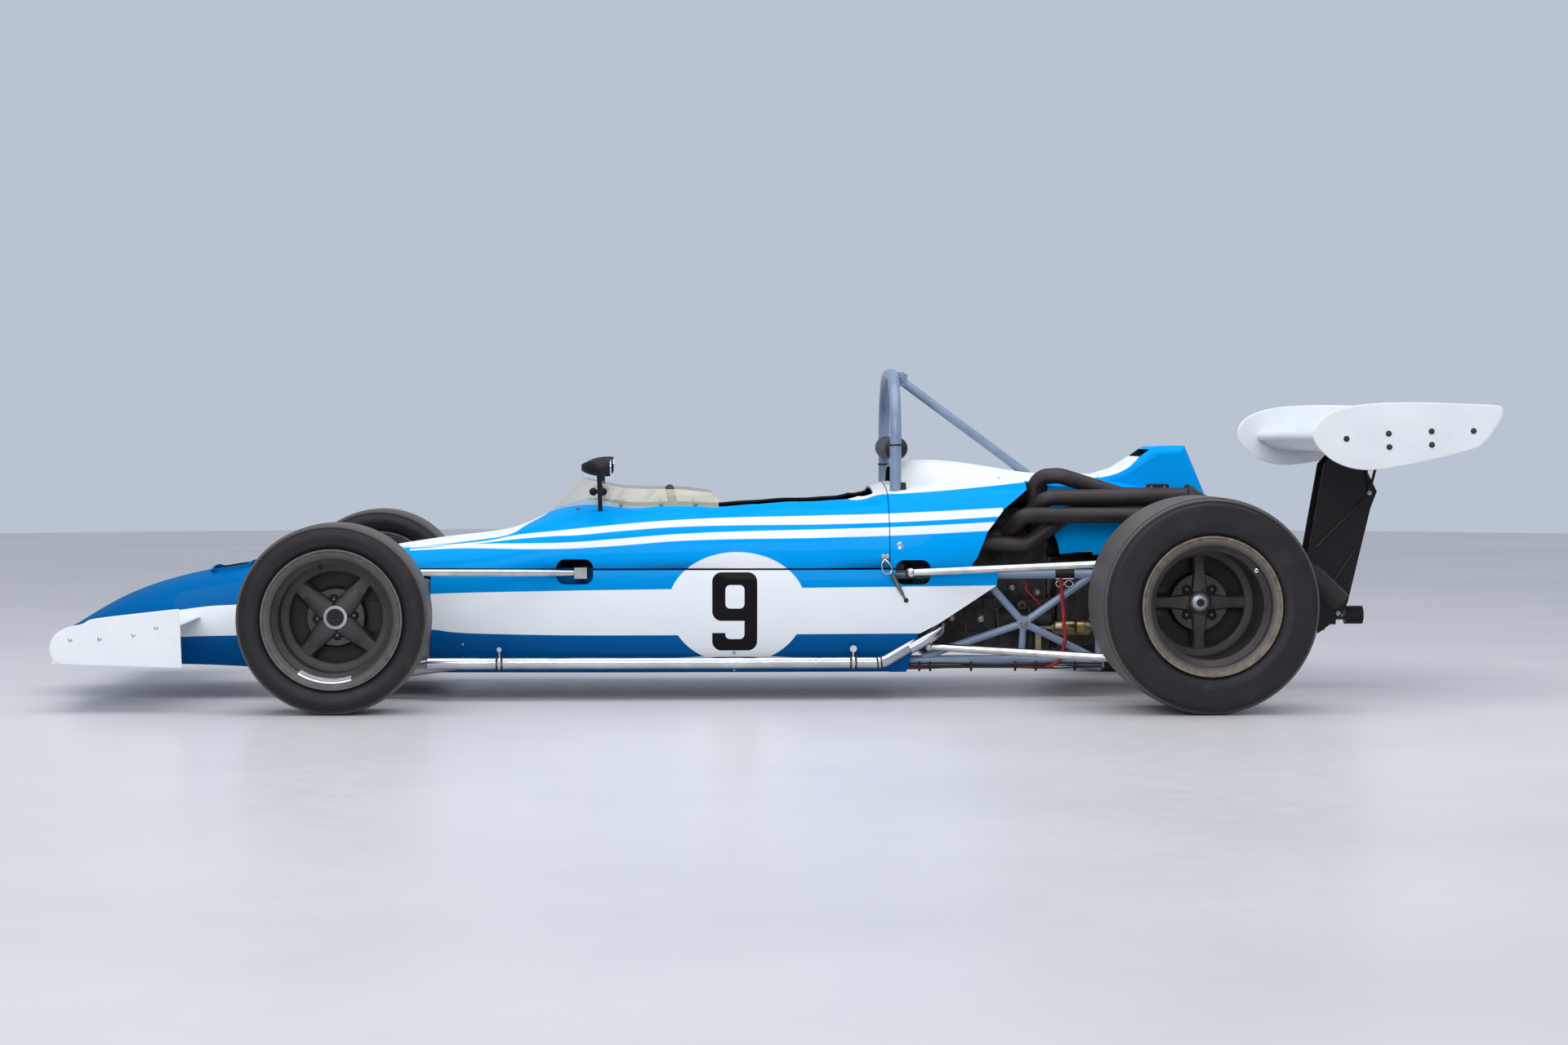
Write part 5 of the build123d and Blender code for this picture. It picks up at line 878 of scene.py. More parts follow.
class RACER_OT_wheel_trim(bpy.types.Operator):
    """Fit the wheels' nuts, studs, caps, valves and spoke webs"""

    bl_idname = "racer.wheel_trim"
    bl_label = "Wheel trim"
    bl_options = {"REGISTER", "UNDO"}

    def execute(self, context):
        for corner in CORNERS:
            b, z, side, _, outer, _ = wheel_centre(corner)
            front = "front" in corner
            wheel, casting = f"wheel_{corner}", f"cast magnesium {'front' if front else 'rear'}"
            axis = np.array([0, side, 0.0])
            turn = 5.0 if front else 45.0
            angles = np.radians(turn + 90 * np.arange(4))
            spots = np.stack([np.cos(angles), np.zeros(4), np.sin(angles)], 1)
            face = WEB_FACE + 10.3
            nuts = [nut((b, face * side, z) + STUD_RADIUS * r, axis, 11.5, 14) for r in spots]
            studs = [dome((b, (face + 18) * side, z) + STUD_RADIUS * r, axis, 4.5, 3) for r in spots]
            cup = [(-8, 19), (8, 17.8), (14.5, 16.8), (15.5, 15), (15.5, 12.8), (0, 12.5)]
            cups = [lathe(cup, (b, (face - 1) * side, z) + STUD_RADIUS * r, axis, 24) for r in spots]
            make_object(f"{corner}_nuts", join(nuts), "dark cast iron", wheel)
            make_object(f"{corner}_studs", join(studs), "turned steel", wheel)
            make_object(f"{corner}_nut_seats", join(cups), casting, wheel)
            # ribs that run out along the spokes from the hub to the barrel
            spokes = []
            for a in np.radians(turn + 45 + 90 * np.arange(4)):
                out = np.array([np.cos(a), 0, np.sin(a)])
                across = np.array([-np.sin(a), 0, np.cos(a)])
                # half width and height of the spoke's face at each radius, and its cast section
                reach = np.linspace(27, 143, 30)
                half = np.interp(reach, *zip(*(FRONT_SPOKE if front else REAR_SPOKE)))
                rise = np.interp(reach, [27, 60, 100, 130, 143], [13, 9, 4.5, 3.5, 6])
                wide = np.array([-7, -3.2, -0.8, 0, 0, 0, 0.8, 3.2, 7])
                share = np.array([-1, -1, -1, -0.94, 0, 0.94, 1, 1, 1.0])
                deep = np.array([-24, -9, -3.0, -0.4, 0.5, -0.4, -3.0, -9, -24])
                points = (
                    reach[:, None, None] * out
                    + (share * half[:, None] + wide)[..., None] * across
                    + (SPOKE_FACE + rise[:, None] + deep)[..., None] * axis
                )
                spokes.append(surface(points + [b, 0, z]))
            barrel = [(-20, 143), (-20, 126), (-14, 121), (-1, 119.5), (2.5, 121.5), (5, 128), (6, 143)]
            barrel.append(barrel[0])
            spokes.append(lathe(barrel, (b, SPOKE_FACE * side, z), axis, 72))
            # recessed web round the wheel's nuts, near black as painted shade of the recess
            web = lathe([(-14, 79), (-3, 77), (0, 72), (0, 22)], (b, (WEB_FACE + 8) * side, z), axis, 48)
            make_object(f"{corner}_web", web, "dark cast iron", wheel)
            make_object(f"{corner}_spokes", join(spokes), casting, wheel, sharp=50)
            if front:
                cap = [(-6, 33), (-1, 33), (2, 31), (2.2, 23), (-0.5, 22.5)]
                cap = lathe(cap, (b, HUB_END * side, z), axis, 48)
                centre = [(0, 23.5), (0.6, 20), (0.8, 0.01)]
                centre = lathe(centre, (b, (HUB_END - 0.8) * side, z), axis, 24)
                middle = np.array([b, (HUB_END - 0.2) * side, z])
                around = np.radians(60 * np.arange(6))
                around = 13 * np.stack([np.cos(around), 0 * around, np.sin(around)], 1)
                heads = [dome(middle + r, axis, 4.6, 2.4, 6) for r in (*around, 0)]
                make_object(f"{corner}_cap_ring", cap, "bare aluminium sheet", wheel)
                make_object(f"{corner}_cap", centre, "cast magnesium", wheel)
                make_object(f"{corner}_cap_dimples", join(heads), "black rubber", wheel)
            else:
                cap = [(-6, 31), (0, 31), (6, 27), (10, 18), (11, 10.5), (9, 9.5), (2, 9), (1.5, 0.01)]
                cap = lathe(cap, (b, HUB_END * side, z), axis, 48)
                make_object(f"{corner}_cap", cap, "bare aluminium sheet", wheel)
                bore = lathe([(9.2, 9.8), (9.2, 0.01)], (b, (HUB_END - 2) * side, z), axis, 24)
                make_object(f"{corner}_cap_bore", bore, "black rubber", wheel)
            # tyre valve near the barrel's edge
            a = np.radians(103 if front else 38)
            reach, inset = (136, 52) if front else (150, 34)
            place = np.array([b + reach * np.cos(a), (outer - inset) * side, z + reach * np.sin(a)])
            lean = unit([-np.cos(a) * 0.35, side, -np.sin(a) * 0.35])
            stem = [(-14, 4), (-2, 4.4), (0, 5.6), (4, 5.6), (5, 3.4), (16, 3.2), (17, 0.01)]
            stem = lathe(stem, place, lean, 16)
            make_object(f"{corner}_valve", stem, "black rubber" if front else "nickel plate", wheel)
        # lead strip under foil tape at the bottom of the left front barrel: follows the barrel's profile
        a = np.radians(np.linspace(-122, -72, 48))[None]
        y, reach = np.array(
            [(-745, 144.5), (-754, 152), (-760, 156.9), (-774, 156.9), (-783.5, 157.2), (-787, 165)]
        ).T[:, :, None]
        points = np.stack([reach * np.cos(a), y * np.ones_like(a), 248 + reach * np.sin(a)], -1)
        make_object(
            "front_left_tape", surface(points, closed=False), "silver foil tape", "wheel_front_left"
        )
        return {"FINISHED"}


# ---------------------------------------------------------------- suspension
COIL_OVERS = {
    "front": ((46, 470, 158), (46, 229, 326), 27.0), "rear": ((2368, 452, 152), (2368, 206, 422), 31.0)
}


class RACER_OT_coil_overs(bpy.types.Operator):
    """Wind the springs on their dampers"""

    bl_idname = "racer.coil_overs"
    bl_label = "Coil overs"
    bl_options = {"REGISTER", "UNDO"}

    def execute(self, context):
        settings = context.scene.racer
        for name, (low, top, radius) in COIL_OVERS.items():
            low, top = np.array(low, float), np.array(top, float)
            length = np.linalg.norm(top - low)
            axis = unit(top - low)
            u, v = basis(axis)
            wire = settings.spring_wire * 1000
            seat_low, seat_top = length * 0.24, length * 0.88
            t = np.linspace(0, 1, 260)
            angle = 2 * np.pi * settings.spring_turns * t
            # flat end turns: the pitch starts and ends slowly
            rise = seat_low + wire + (seat_top - seat_low - 2 * wire) * (t - 0.06 * np.sin(2 * np.pi * t))
            around = np.cos(angle)[:, None] * u + np.sin(angle)[:, None] * v
            coil = low + rise[:, None] * axis + (radius - wire) * around
            spring = both_sides(tube(coil, wire, 10))
            body = [
                (12, 0.01), (12, 9), (length * 0.1, radius * 0.58), (seat_low - 7, radius * 0.58),
                (seat_low - 7, radius + 1), (seat_low, radius + 1), (seat_low, radius * 0.5),
                (length * 0.62, radius * 0.5), (length * 0.63, 0.01),
            ]
            rod = [
                (length * 0.6, 0.01), (length * 0.6, 5.5), (seat_top, 5.5), (seat_top, radius + 1),
                (seat_top + 5, radius + 1), (seat_top + 8, radius * 0.5), (length - 10, radius * 0.4),
                (length - 8, 0.01),
            ]
            eyes = [
                lathe([(-11, 6), (-11, 12.5), (11, 12.5), (11, 6), (-11, 6)], end, (1, 0, 0), 32)
                for end in (low, top)
            ]
            pins = [
                lathe([(-15, 0.01), (-15, 5.6), (15, 5.6), (15, 0.01)], end, (1, 0, 0), 20)
                for end in (low, top)
            ]
            make_object(f"{name}_springs", spring, "satin black paint", replaces=[f"{name}_dampers"])
            make_object(
                f"{name}_damper_bodies", both_sides(join([lathe(body, low, axis, 36), *eyes])),
                "gold anodised aluminium",
            )
            make_object(
                f"{name}_damper_rods", both_sides(join([lathe(rod, low, axis, 32), *pins])), "nickel plate"
            )
        return {"FINISHED"}


# ---------------------------------------------------------------- cockpit
SEAT_LINE = [
    (958, 168), (1040, 150), (1120, 136), (1190, 133), (1236, 165), (1292, 250), (1345, 370),
    (1385, 492), (1392, 505),
]


def seat_surface(lift):
    """Seat line in side view as (stations, heights), moved towards the driver by lift."""
    line = curve(SEAT_LINE, 10)
    run = unit(np.gradient(line, axis=0))
    return line + lift * np.stack([-run[:, 1], run[:, 0]], 1)


class RACER_OT_seat(bpy.types.Operator):
    """Upholster the seat and the roll hoop's head pad"""

    bl_idname = "racer.seat"
    bl_label = "Seat and head pad"
    bl_options = {"REGISTER", "UNDO"}

    def execute(self, context):
        line = seat_surface(0)
        run = unit(np.gradient(line, axis=0))
        out = np.stack([-run[:, 1], run[:, 0]], 1)
        u = np.linspace(0, 1, len(line))[:, None]
        v = np.linspace(-1, 1, 81)[None]
        # bolsters rise at the sides, highest in the bend; pleats run up the backrest between them
        side = np.clip((np.abs(v) - 0.74) / 0.2, 0, 1)
        bolster = (26 + 46 * np.exp(-(((u - 0.45) / 0.28) ** 2))) * (3 * side**2 - 2 * side**3)
        edge = 1 - np.clip((np.abs(v) - 0.95) / 0.05, 0, 1) ** 2 * 0.35
        pleat = 4.5 * np.abs(np.sin(np.pi * 4.5 * v)) ** 0.5 * (1 - side)
        lift = (2 + bolster + pleat) * edge * np.clip(np.minimum(u, 1 - u) * 18, 0.25, 1)
        top = np.stack(
            np.broadcast_arrays(line[:, :1] + out[:, :1] * lift, 203 * v, line[:, 1:] + out[:, 1:] * lift),
            -1,
        )
        back_z = np.maximum(line[:, 1:] - 26 * out[:, 1:], 86)
        under = np.stack(np.broadcast_arrays(line[:, :1] - out[:, :1] * 26, 203 * v[:, ::-1], back_z), -1)
        seat = make_object(
            "seat_upholstery", surface(np.concatenate([top, under], 1)), "charcoal cloth",
            replaces=["seat"], sharp=80,
        )
        # head pad: vinyl over foam, with piping near both ends and slight puckers
        t = np.linspace(-1, 1, 90)
        half = 208.0
        round_end = np.clip(1 - np.abs(t), 0, 0.06) / 0.06
        radius = 31.4 * np.sqrt(1 - (1 - round_end) ** 2) ** 0.6
        piping = 0.7 * np.exp(-(((np.abs(t) - 0.93) / 0.008) ** 2))
        pucker = 0.4 * np.abs(np.sin(12 * np.pi * t)) ** 8
        radius = np.maximum(radius + piping - pucker, 0.01)
        pad = lathe(np.stack([half * t, np.minimum(radius, 32)], 1), (1504, 0, 685), (0, 1, 0), 48)
        obj = make_object("head_pad_cover", pad, "black vinyl", replaces=["head_pad"], sharp=70)
        return {"FINISHED"}


class RACER_OT_harness(bpy.types.Operator):
    """Lay the shoulder and lap straps and their buckle on the seat"""

    bl_idname = "racer.harness"
    bl_label = "Harness"
    bl_options = {"REGISTER", "UNDO"}

    def execute(self, context):
        settings = context.scene.racer
        width = settings.webbing_width * 1000
        line = seat_surface(13.0)
        upper = line[line[:, 0] > 1165]
        straps = []
        for side in (LEFT, RIGHT):
            share = np.clip((1300 - upper[:, 0]) / 120, 0, 1)
            y = side * (85 - 38 * share)
            path = np.stack([upper[:, 0], y, upper[:, 1]], 1)
            straps.append(ribbon(path, (0, 1, 0), width, 2.6))
            lap = [
                (1180, side * 168, 190), (1168, side * 120, 166), (1150, side * 60, 156),
                (1142, side * 26, 154),
            ]
            straps.append(ribbon(curve(lap, 12), (1, 0, 0.25), width, 2.6))
        make_object("harness_straps", join(straps), "navy webbing", replaces=["harness"], sharp=70)
        buckle = [(-7, 0.01), (-7, 27), (-2, 30), (4, 30), (7, 26), (7, 13), (9, 12), (9, 0.01)]
        buckle = lathe(buckle, (1142, 0, 156), (0.1, 0, 1), 40)
        tongues = [
            slab((1150 - 8 * abs(s), s * 40 - 17, 151), (1176 - 8 * abs(s), s * 40 + 17, 154))
            for s in (LEFT, RIGHT)
        ]
        make_object("harness_buckle", join([buckle, *tongues]), "turned steel")
        return {"FINISHED"}


class RACER_OT_cockpit(bpy.types.Operator):
    """Fit the gauges, switches and the steering wheel's boss"""

    bl_idname = "racer.cockpit"
    bl_label = "Cockpit fittings"
    bl_options = {"REGISTER", "UNDO"}

    def execute(self, context):
        bezels, dials, marks, needles = [], [], [], []
        for y, z, r in ((0, 462, 44), (-104, 455, 29), (104, 455, 29), (-170, 446, 22)):
            centre = np.array([673.0, y, z])
            bezels.append(
                lathe([(-1, r), (10, r), (12, r - 2), (12, r - 5), (8, r - 6)], centre, (1, 0, 0), 48)
            )
            dials.append(lathe([(8, r - 5.5), (8, 0.01)], centre, (1, 0, 0), 48))
            a = np.radians(np.linspace(-40, 220, 14))
            for c, s in zip(np.cos(a), np.sin(a)):
                low = centre + [8.2, c * (r - 13), s * (r - 13)]
                high = centre + [8.2, c * (r - 8), s * (r - 8)]
                marks.append(tube(np.linspace(low, high, 3), 0.7, 6))
            needles.append(
                tube(np.linspace(centre + [9, 0, 0], centre + [9, -0.5 * r, -0.5 * r], 4), 0.9, 6)
            )
        make_object("gauge_bezels", join(bezels), "nickel plate")
        make_object("gauge_dials", join(dials), "black dial face")
        make_object("gauge_marks", join(marks + needles), "white dial marks")
        switches = [
            lathe([(0, 8), (3, 8), (4, 4), (14, 3), (17, 4.4), (19, 0.01)], (672, y, 420), (1, 0, 0), 20)
            for y in (-60, 60, 150)
        ]
        make_object("dash_switches", join(switches), "turned steel")
        hub = np.array([905.0, 0, 440])
        axis = unit([1009, 0, 235])
        u, v = basis(axis)
        spots = np.radians([30, 90, 150, 210, 270, 330])
        heads = [
            dome(hub + 6 * axis + 15 * (np.cos(s) * u + np.sin(s) * v), axis, 3.4, 2.2, 6) for s in spots
        ]
        boss = lathe([(14, 26), (17, 24), (18, 8), (17, 0.01)], hub - 6 * axis, axis, 40)
        make_object(
            "steering_wheel_boss", join([boss, *[(p + 9 * axis, f, w) for p, f, w in heads]]),
            "turned steel", "steering_wheel",
        )
        return {"FINISHED"}


# ---------------------------------------------------------------- body shells
# How much the cowl's upper edge rises at each station, so that it runs straight beside the driver.
EDGE_RAISE = [
    (600, 0), (694, 1), (760, 4), (800, 11), (840, 20), (880, 23), (920, 23), (960, 18), (1000, 7),
    (1040, -2), (1080, -9), (1120, -19), (1160, -24), (1200, -24), (1240, -22), (1280, -14), (1320, 1),
    (1360, 15), (1395, 30), (1425, 27), (1450, 17), (1475, 0),
]


def reshaped(name, node, low, high, tail):
    """Merged copy of a CAD shell whose points rise by EDGE_RAISE at their station.

    The share of the rise grows smoothly from none at the height low to all at high,
    and falls to none over tail, if given.
    """
    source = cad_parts[node].data
    work = bmesh.new()
    work.from_mesh(source)
    bmesh.ops.remove_doubles(work, verts=work.verts, dist=2e-5)
    mesh = bpy.data.meshes.new(name)
    work.to_mesh(mesh)
    work.free()
    flat = np.empty(len(mesh.vertices) * 3, np.float32)
    mesh.vertices.foreach_get("co", flat)
    points = flat.reshape(-1, 3)
    b, z = (points[:, 0] - AXLE_X) * 1000, points[:, 2] * 1000
    share = np.clip((z - low) / (high - low), 0, 1)
    share = share * share * (3 - 2 * share)
    if tail:
        share *= np.clip((tail[1] - z) / (tail[1] - tail[0]), 0, 1)
    points[:, 2] += share * np.interp(b, *zip(*EDGE_RAISE)) / 1000
    mesh.vertices.foreach_set("co", points.ravel())
    mesh.shade_smooth()
    mesh.set_sharp_from_angle(angle=np.radians(28))
    mesh.materials.clear()
    mesh.materials.append(source.materials[0])
    obj = bpy.data.objects.new(name, mesh)
    bpy.context.scene.collection.objects.link(obj)
    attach(obj, "chassis")
    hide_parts(node)
    return obj


class RACER_OT_shells(bpy.types.Operator):
    """Draw the cowl's upper edge and the screen's foot to a straight line"""

    bl_idname = "racer.shells"
    bl_label = "Cowl and screen"
    bl_options = {"REGISTER", "UNDO"}

    def execute(self, context):
        reshaped("cowl_shell", "cockpit_cowl", 425, 500, None)
        reshaped("wrapped_screen", "windscreen", 400, 420, (535, 580))
        return {"FINISHED"}


# ---------------------------------------------------------------- body fittings
# outlines of the end plates, as (station, height)
NOSE_PLATE = [
    (-738, 168), (-734, 188), (-726, 204), (-708, 217), (-689, 226), (-668, 230), (-650, 234),
    (-640, 241), (-628, 247), (-515, 260), (-409, 271.5), (-402, 272), (-401.5, 264), (-399, 195),
    (-396.5, 126), (-396, 118), (-404, 118), (-550, 123), (-700, 128), (-716, 131), (-732, 143),
]
WING_PLATE = [
    (2596, 723), (2600, 745), (2612, 764), (2636, 781), (2668, 794), (2710, 803), (2756, 808),
    (2844, 811.5), (2930, 810), (3021, 806.5), (3090, 804), (3104, 802), (3111, 794), (3111, 784),
    (3108, 772), (3097, 751), (3080, 726), (3062, 704), (3046, 692), (3022, 683), (2970, 669),
    (2912, 655), (2860, 644), (2801, 634), (2765, 630), (2735, 629), (2700, 634), (2668, 645),
    (2640, 661), (2618, 682), (2602, 702),
]


class RACER_OT_body_fixings(bpy.types.Operator):
    """Fit the panel fasteners, rivets, screws and bolts"""

    bl_idname = "racer.body_fixings"
    bl_label = "Body fixings"
    bl_options = {"REGISTER", "UNDO"}

    def execute(self, context):
        left = np.array([0, -1.0, 0])
        plates = join([plate(NOSE_PLATE, side * 700, 4) for side in (LEFT, RIGHT)])
        make_object("nose_end_plates", plates, "white enamel", replaces=["nose_plates"])
        plates = join([plate(WING_PLATE, side * 550, 4) for side in (LEFT, RIGHT)])
        make_object("wing_end_plates", plates, "white enamel", replaces=["wing_plates"])
        # plate bolts: nose end plates and wing end plates
        nose = [(-683, 192), (-608, 194), (-521, 204), (-462, 223)]
        wing = [(2687, 713), (2801, 727), (2803, 691), (2917, 733), (2918, 697), (3031, 734)]
        heads = [dome((b, -702, z), left, 5.5, 2.6) for b, z in nose] + [
            dome((b, 702, z), -left, 5.5, 2.6) for b, z in nose
        ]
        make_object("nose_plate_bolts", join(heads), "nickel plate")
        heads = [
            join(
                [
                    lathe([(0, 8), (1.4, 8), (1.4, 5)], (b, side * 552, z), (0, side, 0), 24),
                    dome((b, side * 553, z), (0, side, 0), 5.5, 3.5, 6),
                ]
            )
            for b, z in wing
            for side in (LEFT, RIGHT)
        ]
        make_object("wing_plate_bolts", join(heads), "cast magnesium")
        # light bolts of the pylons
        bolts = [
            nut((b, side * 47, z), (0, side, 0), 8, 9)
            for b, z in ((2864, 557), (2776, 214))
            for side in (LEFT, RIGHT)
        ]
        make_object("pylon_bolts", join(bolts), "bare aluminium sheet")
        # rivets low on the tub and screws along the screen's foot
        rivets = [
            dome((b, side * w, z), (0, side, 0), 4.2, 3)
            for b, z, w in ((309, 151, 326), (308, 113, 318), (1049, 129, 346), (1050, 80, 331))
            for side in (LEFT, RIGHT)
        ]
        make_object("tub_rivets", join(rivets), "bare aluminium sheet")
        screws = [
            dome((b, side * w, z), (0, side, 0.8), 5, 3.5)
            for b, z, w in ((620, 522, 226), (740, 529, 242), (850, 531, 250), (945, 531, 252))
            for side in (LEFT, RIGHT)
        ]
        make_object("screen_screws", join(screws), "turned steel")
        # oval quarter turn fasteners beside the cover's joint
        a = np.linspace(0, 2 * np.pi, 28, endpoint=False)
        oval = np.stack([1503 + 11 * np.cos(a) * (1 + 0.12 * np.cos(2 * a)), 413 + 17.5 * np.sin(a)], 1)
        fasteners = []
        for side in (LEFT, RIGHT):
            fasteners.append(plate(oval, side * 349.5, 4, 0.8))
            fasteners += [
                dome((1503, side * 351.4, z), (0, side, 0), r, 1.6)
                for z, r in ((413, 6.5), (426, 2.2), (400, 2.2))
            ]
            face = side * 352.6
            fasteners.append(slab((1496, face - 0.8, 411.6), (1510, face + 0.8, 414.4), 0.5))
        make_object("cover_fasteners", join(fasteners), "nickel plate")
        return {"FINISHED"}


def oval_ring(centre, half_b, half_z, radius):
    """Closed wire ring upright beside the car: an ellipse in station and height."""
    a = np.linspace(0, 2 * np.pi, 40, endpoint=False)
    line = np.stack([centre[0] + half_b * np.cos(a), centre[1] + 0 * a, centre[2] + half_z * np.sin(a)], 1)
    return tube(line, radius, 8, closed=True)


PIPE_Y, PIPE_Z = 362, 102  # axis of the straight water pipes


class RACER_OT_latches(bpy.types.Operator):
    """Fit the spring latches, the pipes' clamps and the hoop's straps and clevis"""

    bl_idname = "racer.latches"
    bl_label = "Latches and clamps"
    bl_options = {"REGISTER", "UNDO"}

    def execute(self, context):
        wire, springs, rubber, elbow = [], [], [], []
        for side in (LEFT, RIGHT):
            # bracket with two nuts, wire loop, and a spring hooked on a ball below
            springs.append(slab((1452, side * 352 - 3, 374), (1470, side * 352 + 3, 398), 3))
            wire += [nut((b, side * 354, 391), (0, side, 0), 6.5, 6) for b in (1456, 1468)]
            loop = [
                (1461, side * 356, 384), (1452, side * 362, 368), (1458, side * 365, 348),
                (1472, side * 366, 344), (1480, side * 365, 356), (1472, side * 361, 372),
                (1461, side * 356, 384),
            ]
            wire.append(tube(curve(loop, 8), 2.4, 8))
            low, top = np.array([1515, side * 361, 276.0]), np.array([1478, side * 366, 346.0])
            axis = unit(low - top)
            u, v = basis(axis)
            t = np.linspace(0, 1, 300)[:, None]
            turns = 2 * np.pi * 16 * t
            body = top + (4 + 62 * t) * axis + (6.2 - 2.2 * t) * (np.cos(turns) * u + np.sin(turns) * v)
            springs.append(tube(body, 1.5, 6))
            springs.append(tube(np.linspace(top, low, 8), 3.6, 12))
            ball = [(-9, 0.01), (-6, 6), (0, 9), (6, 6), (9, 0.01)]
            rubber.append(lathe(ball, (1519, side * 356, 271), (0, side, 0), 20))
            # the pipe's plain front length, behind the front wheel
            straight = [(b, side * PIPE_Y, PIPE_Z) for b in (216, 262, 308, 354)]
            elbow.append(tube(straight, 17.2, 24))
            # the pipe turns up behind the tub and ends in a rubber hose
            bend = [
                (1530, side * 345, 138), (1560, side * 343, 154), (1592, side * 337, 172),
                (1612, side * 326, 188), (1618, side * 312, 204),
            ]
            elbow.append(tube(curve(bend, 10), 16, 24))
            hose = [
                (1616, side * 318, 198), (1616, side * 300, 213), (1606, side * 270, 222),
                (1590, side * 240, 222),
            ]
            rubber.append(tube(curve(hose, 10), 20, 24))
            # clamps round the water pipes: pairs of rubber lined bands with a screw on top
            for b in (410, 1374):
                rubber += [ring((b + d, side * PIPE_Y, PIPE_Z), (1, 0, 0), 16.5, 19.6, 5) for d in (-7, 7)]
                wire += [
                    tube([(b, side * 366, PIPE_Z + rise) for rise in (17, 25, 34)], 3.2, 10),
                    ring((b, side * PIPE_Y, PIPE_Z), (1, 0, 0), 16.5, 18.4, 9),
                ]
                head = 9.5 if b > 1000 else 6.5
                screw = [(-5, 0.01), (-5, head), (5, head), (5, 0.01)]
                wire.append(lathe(screw, (b, side * 366, PIPE_Z + 38), (0, side, 0), 20))
            rubber += [ring((1446 + d, side * PIPE_Y, PIPE_Z), (1, 0, 0.1), 16.8, 19.4, 4) for d in (-6, 5)]
            # black clevis behind the hoop's leg
            rubber.append(slab((1513, side * 225 - 10, 560), (1529, side * 225 + 10, 592), 3))
        rubber.append(ring((1500, 225, 636), (0, 0, 1), 15.8, 17.4, 5))
        rubber.append(ring((1500, -225, 695), (0, 0, 1), 15.8, 17.4, 5))
        make_object("pipe_elbows", join(elbow), "bright aluminium pipe")
        make_object("latch_wires_and_screws", join(wire), "nickel plate")
        make_object("latch_springs", join(springs), "turned steel")
        make_object("rubber_clamps", join(rubber), "black rubber")
        return {"FINISHED"}


class RACER_OT_engine_bay(bpy.types.Operator):
    """Dress the engine bay: catch clips, pump ends, bolts, hanger, ties and loom"""

    bl_idname = "racer.engine_bay"
    bl_label = "Engine bay fittings"
    bl_options = {"REGISTER", "UNDO"}

    def execute(self, context):
        settings = context.scene.racer
        thin = settings.cable_radius * 1000
        clips = [oval_ring((b, -306, 313), 11, 8.5, 1.6) for b in (1948, 1973)]
        clips.append(tube([(1936, -305, 327), (1960, -306, 327), (1986, -305, 327)], 2.4, 8))
        make_object("catch_clips", join(clips), "nickel plate")
        straps = [ring((1962, -290, 339), (1, 0, 0), 12.5, 15.5, 52)]
        # a satin black block across the bay: painted shade, darkening where light came through
        straps.append(slab((1898, -95, 376), (1988, 130, 436), 8))
        # exhaust hanger on the scoop's side
        straps.append(slab((2201, -212, 566), (2266, -196, 587), 3))
        pump = [(0, 0.01), (0, 15), (3, 17), (54, 17), (57, 15), (57, 0.01)]
        pump = lathe(pump, (1938, -262, 194), (1, 0, 0), 28)
        make_object("fuel_pump", pump, "gold anodised aluminium")
        collar = [(0, 8), (0, 19), (2, 21), (21, 21), (23, 19), (23, 8)]
        make_object("pump_collar", lathe(collar, (1997, -262, 190), (1, 0, 0), 28), "brass")
        route = [
            (1901, -268, 246), (1884, -276, 268), (1862, -278, 290), (1858, -278, 304), (1864, -270, 322)
        ]
        make_object("coil_wire", tube(curve(route, 8), 3.4, 10), "red rubber cable")
        make_object("bay_straps_and_shade_block", join(straps), "satin black paint")
        bolts = [
            nut((b, y, z), (0, -1, 0), r, 6)
            for b, z, y, r in (
                (1822, 301, -262, 9), (1891, 287, -262, 8), (1653, 218, -262, 10), (1735, 213, -262, 10)
            )
        ]
        bolts += [
            dome((2216, -212.5, 577), (0, -1, 0), 4, 3), dome((2252, -212.5, 577), (0, -1, 0), 4, 3),
            nut((1849, -304, 202), (0, -1, 0), 11, 8),
        ]
        make_object("bay_bolts", join(bolts), "turned steel")
        lug = [(-14, 6), (-14, 12), (0, 14), (5, 13), (6, 9), (6, 5), (0, 4.5)]
        lugs = [
            lathe(lug, (b, -250, z), (0, -1, 0), 28)
            for b, z in ((1653, 218), (1735, 213), (1822, 301), (1891, 287), (1850, 250), (1700, 300))
        ]
        ribs = [
            tube(curve([(b, -252, 130), (b + 4, -255, 190), (b, -252, 245)], 8), 5, 8)
            for b in (1600, 1690, 1780, 1870)
        ]
        make_object("block_lugs_and_ribs", join(lugs + ribs), "oily aluminium casting")
        # ignition wires and the thin loom tied along the lower rail
        t = np.linspace(0, 1, 60)[:, None]
        looms = []
        for k in range(3):
            phase = 2.1 * k
            line = np.concatenate(
                [
                    1505 + 560 * t, -303 - 2.5 * k + 1.5 * np.sin(11 * t + phase),
                    92 - 4.5 * k + 2.5 * np.sin(9 * t + phase),
                ],
                1,
            )
            looms.append(tube(line, thin * 0.8, 8))
        looms += [ring((b, -301, 86), (1, 0, 0), 12.5, 14, 5) for b in (1560, 1590, 1703, 1825, 1882, 1990)]
        make_object("wiring_loom", join(looms), "black rubber")
        return {"FINISHED"}


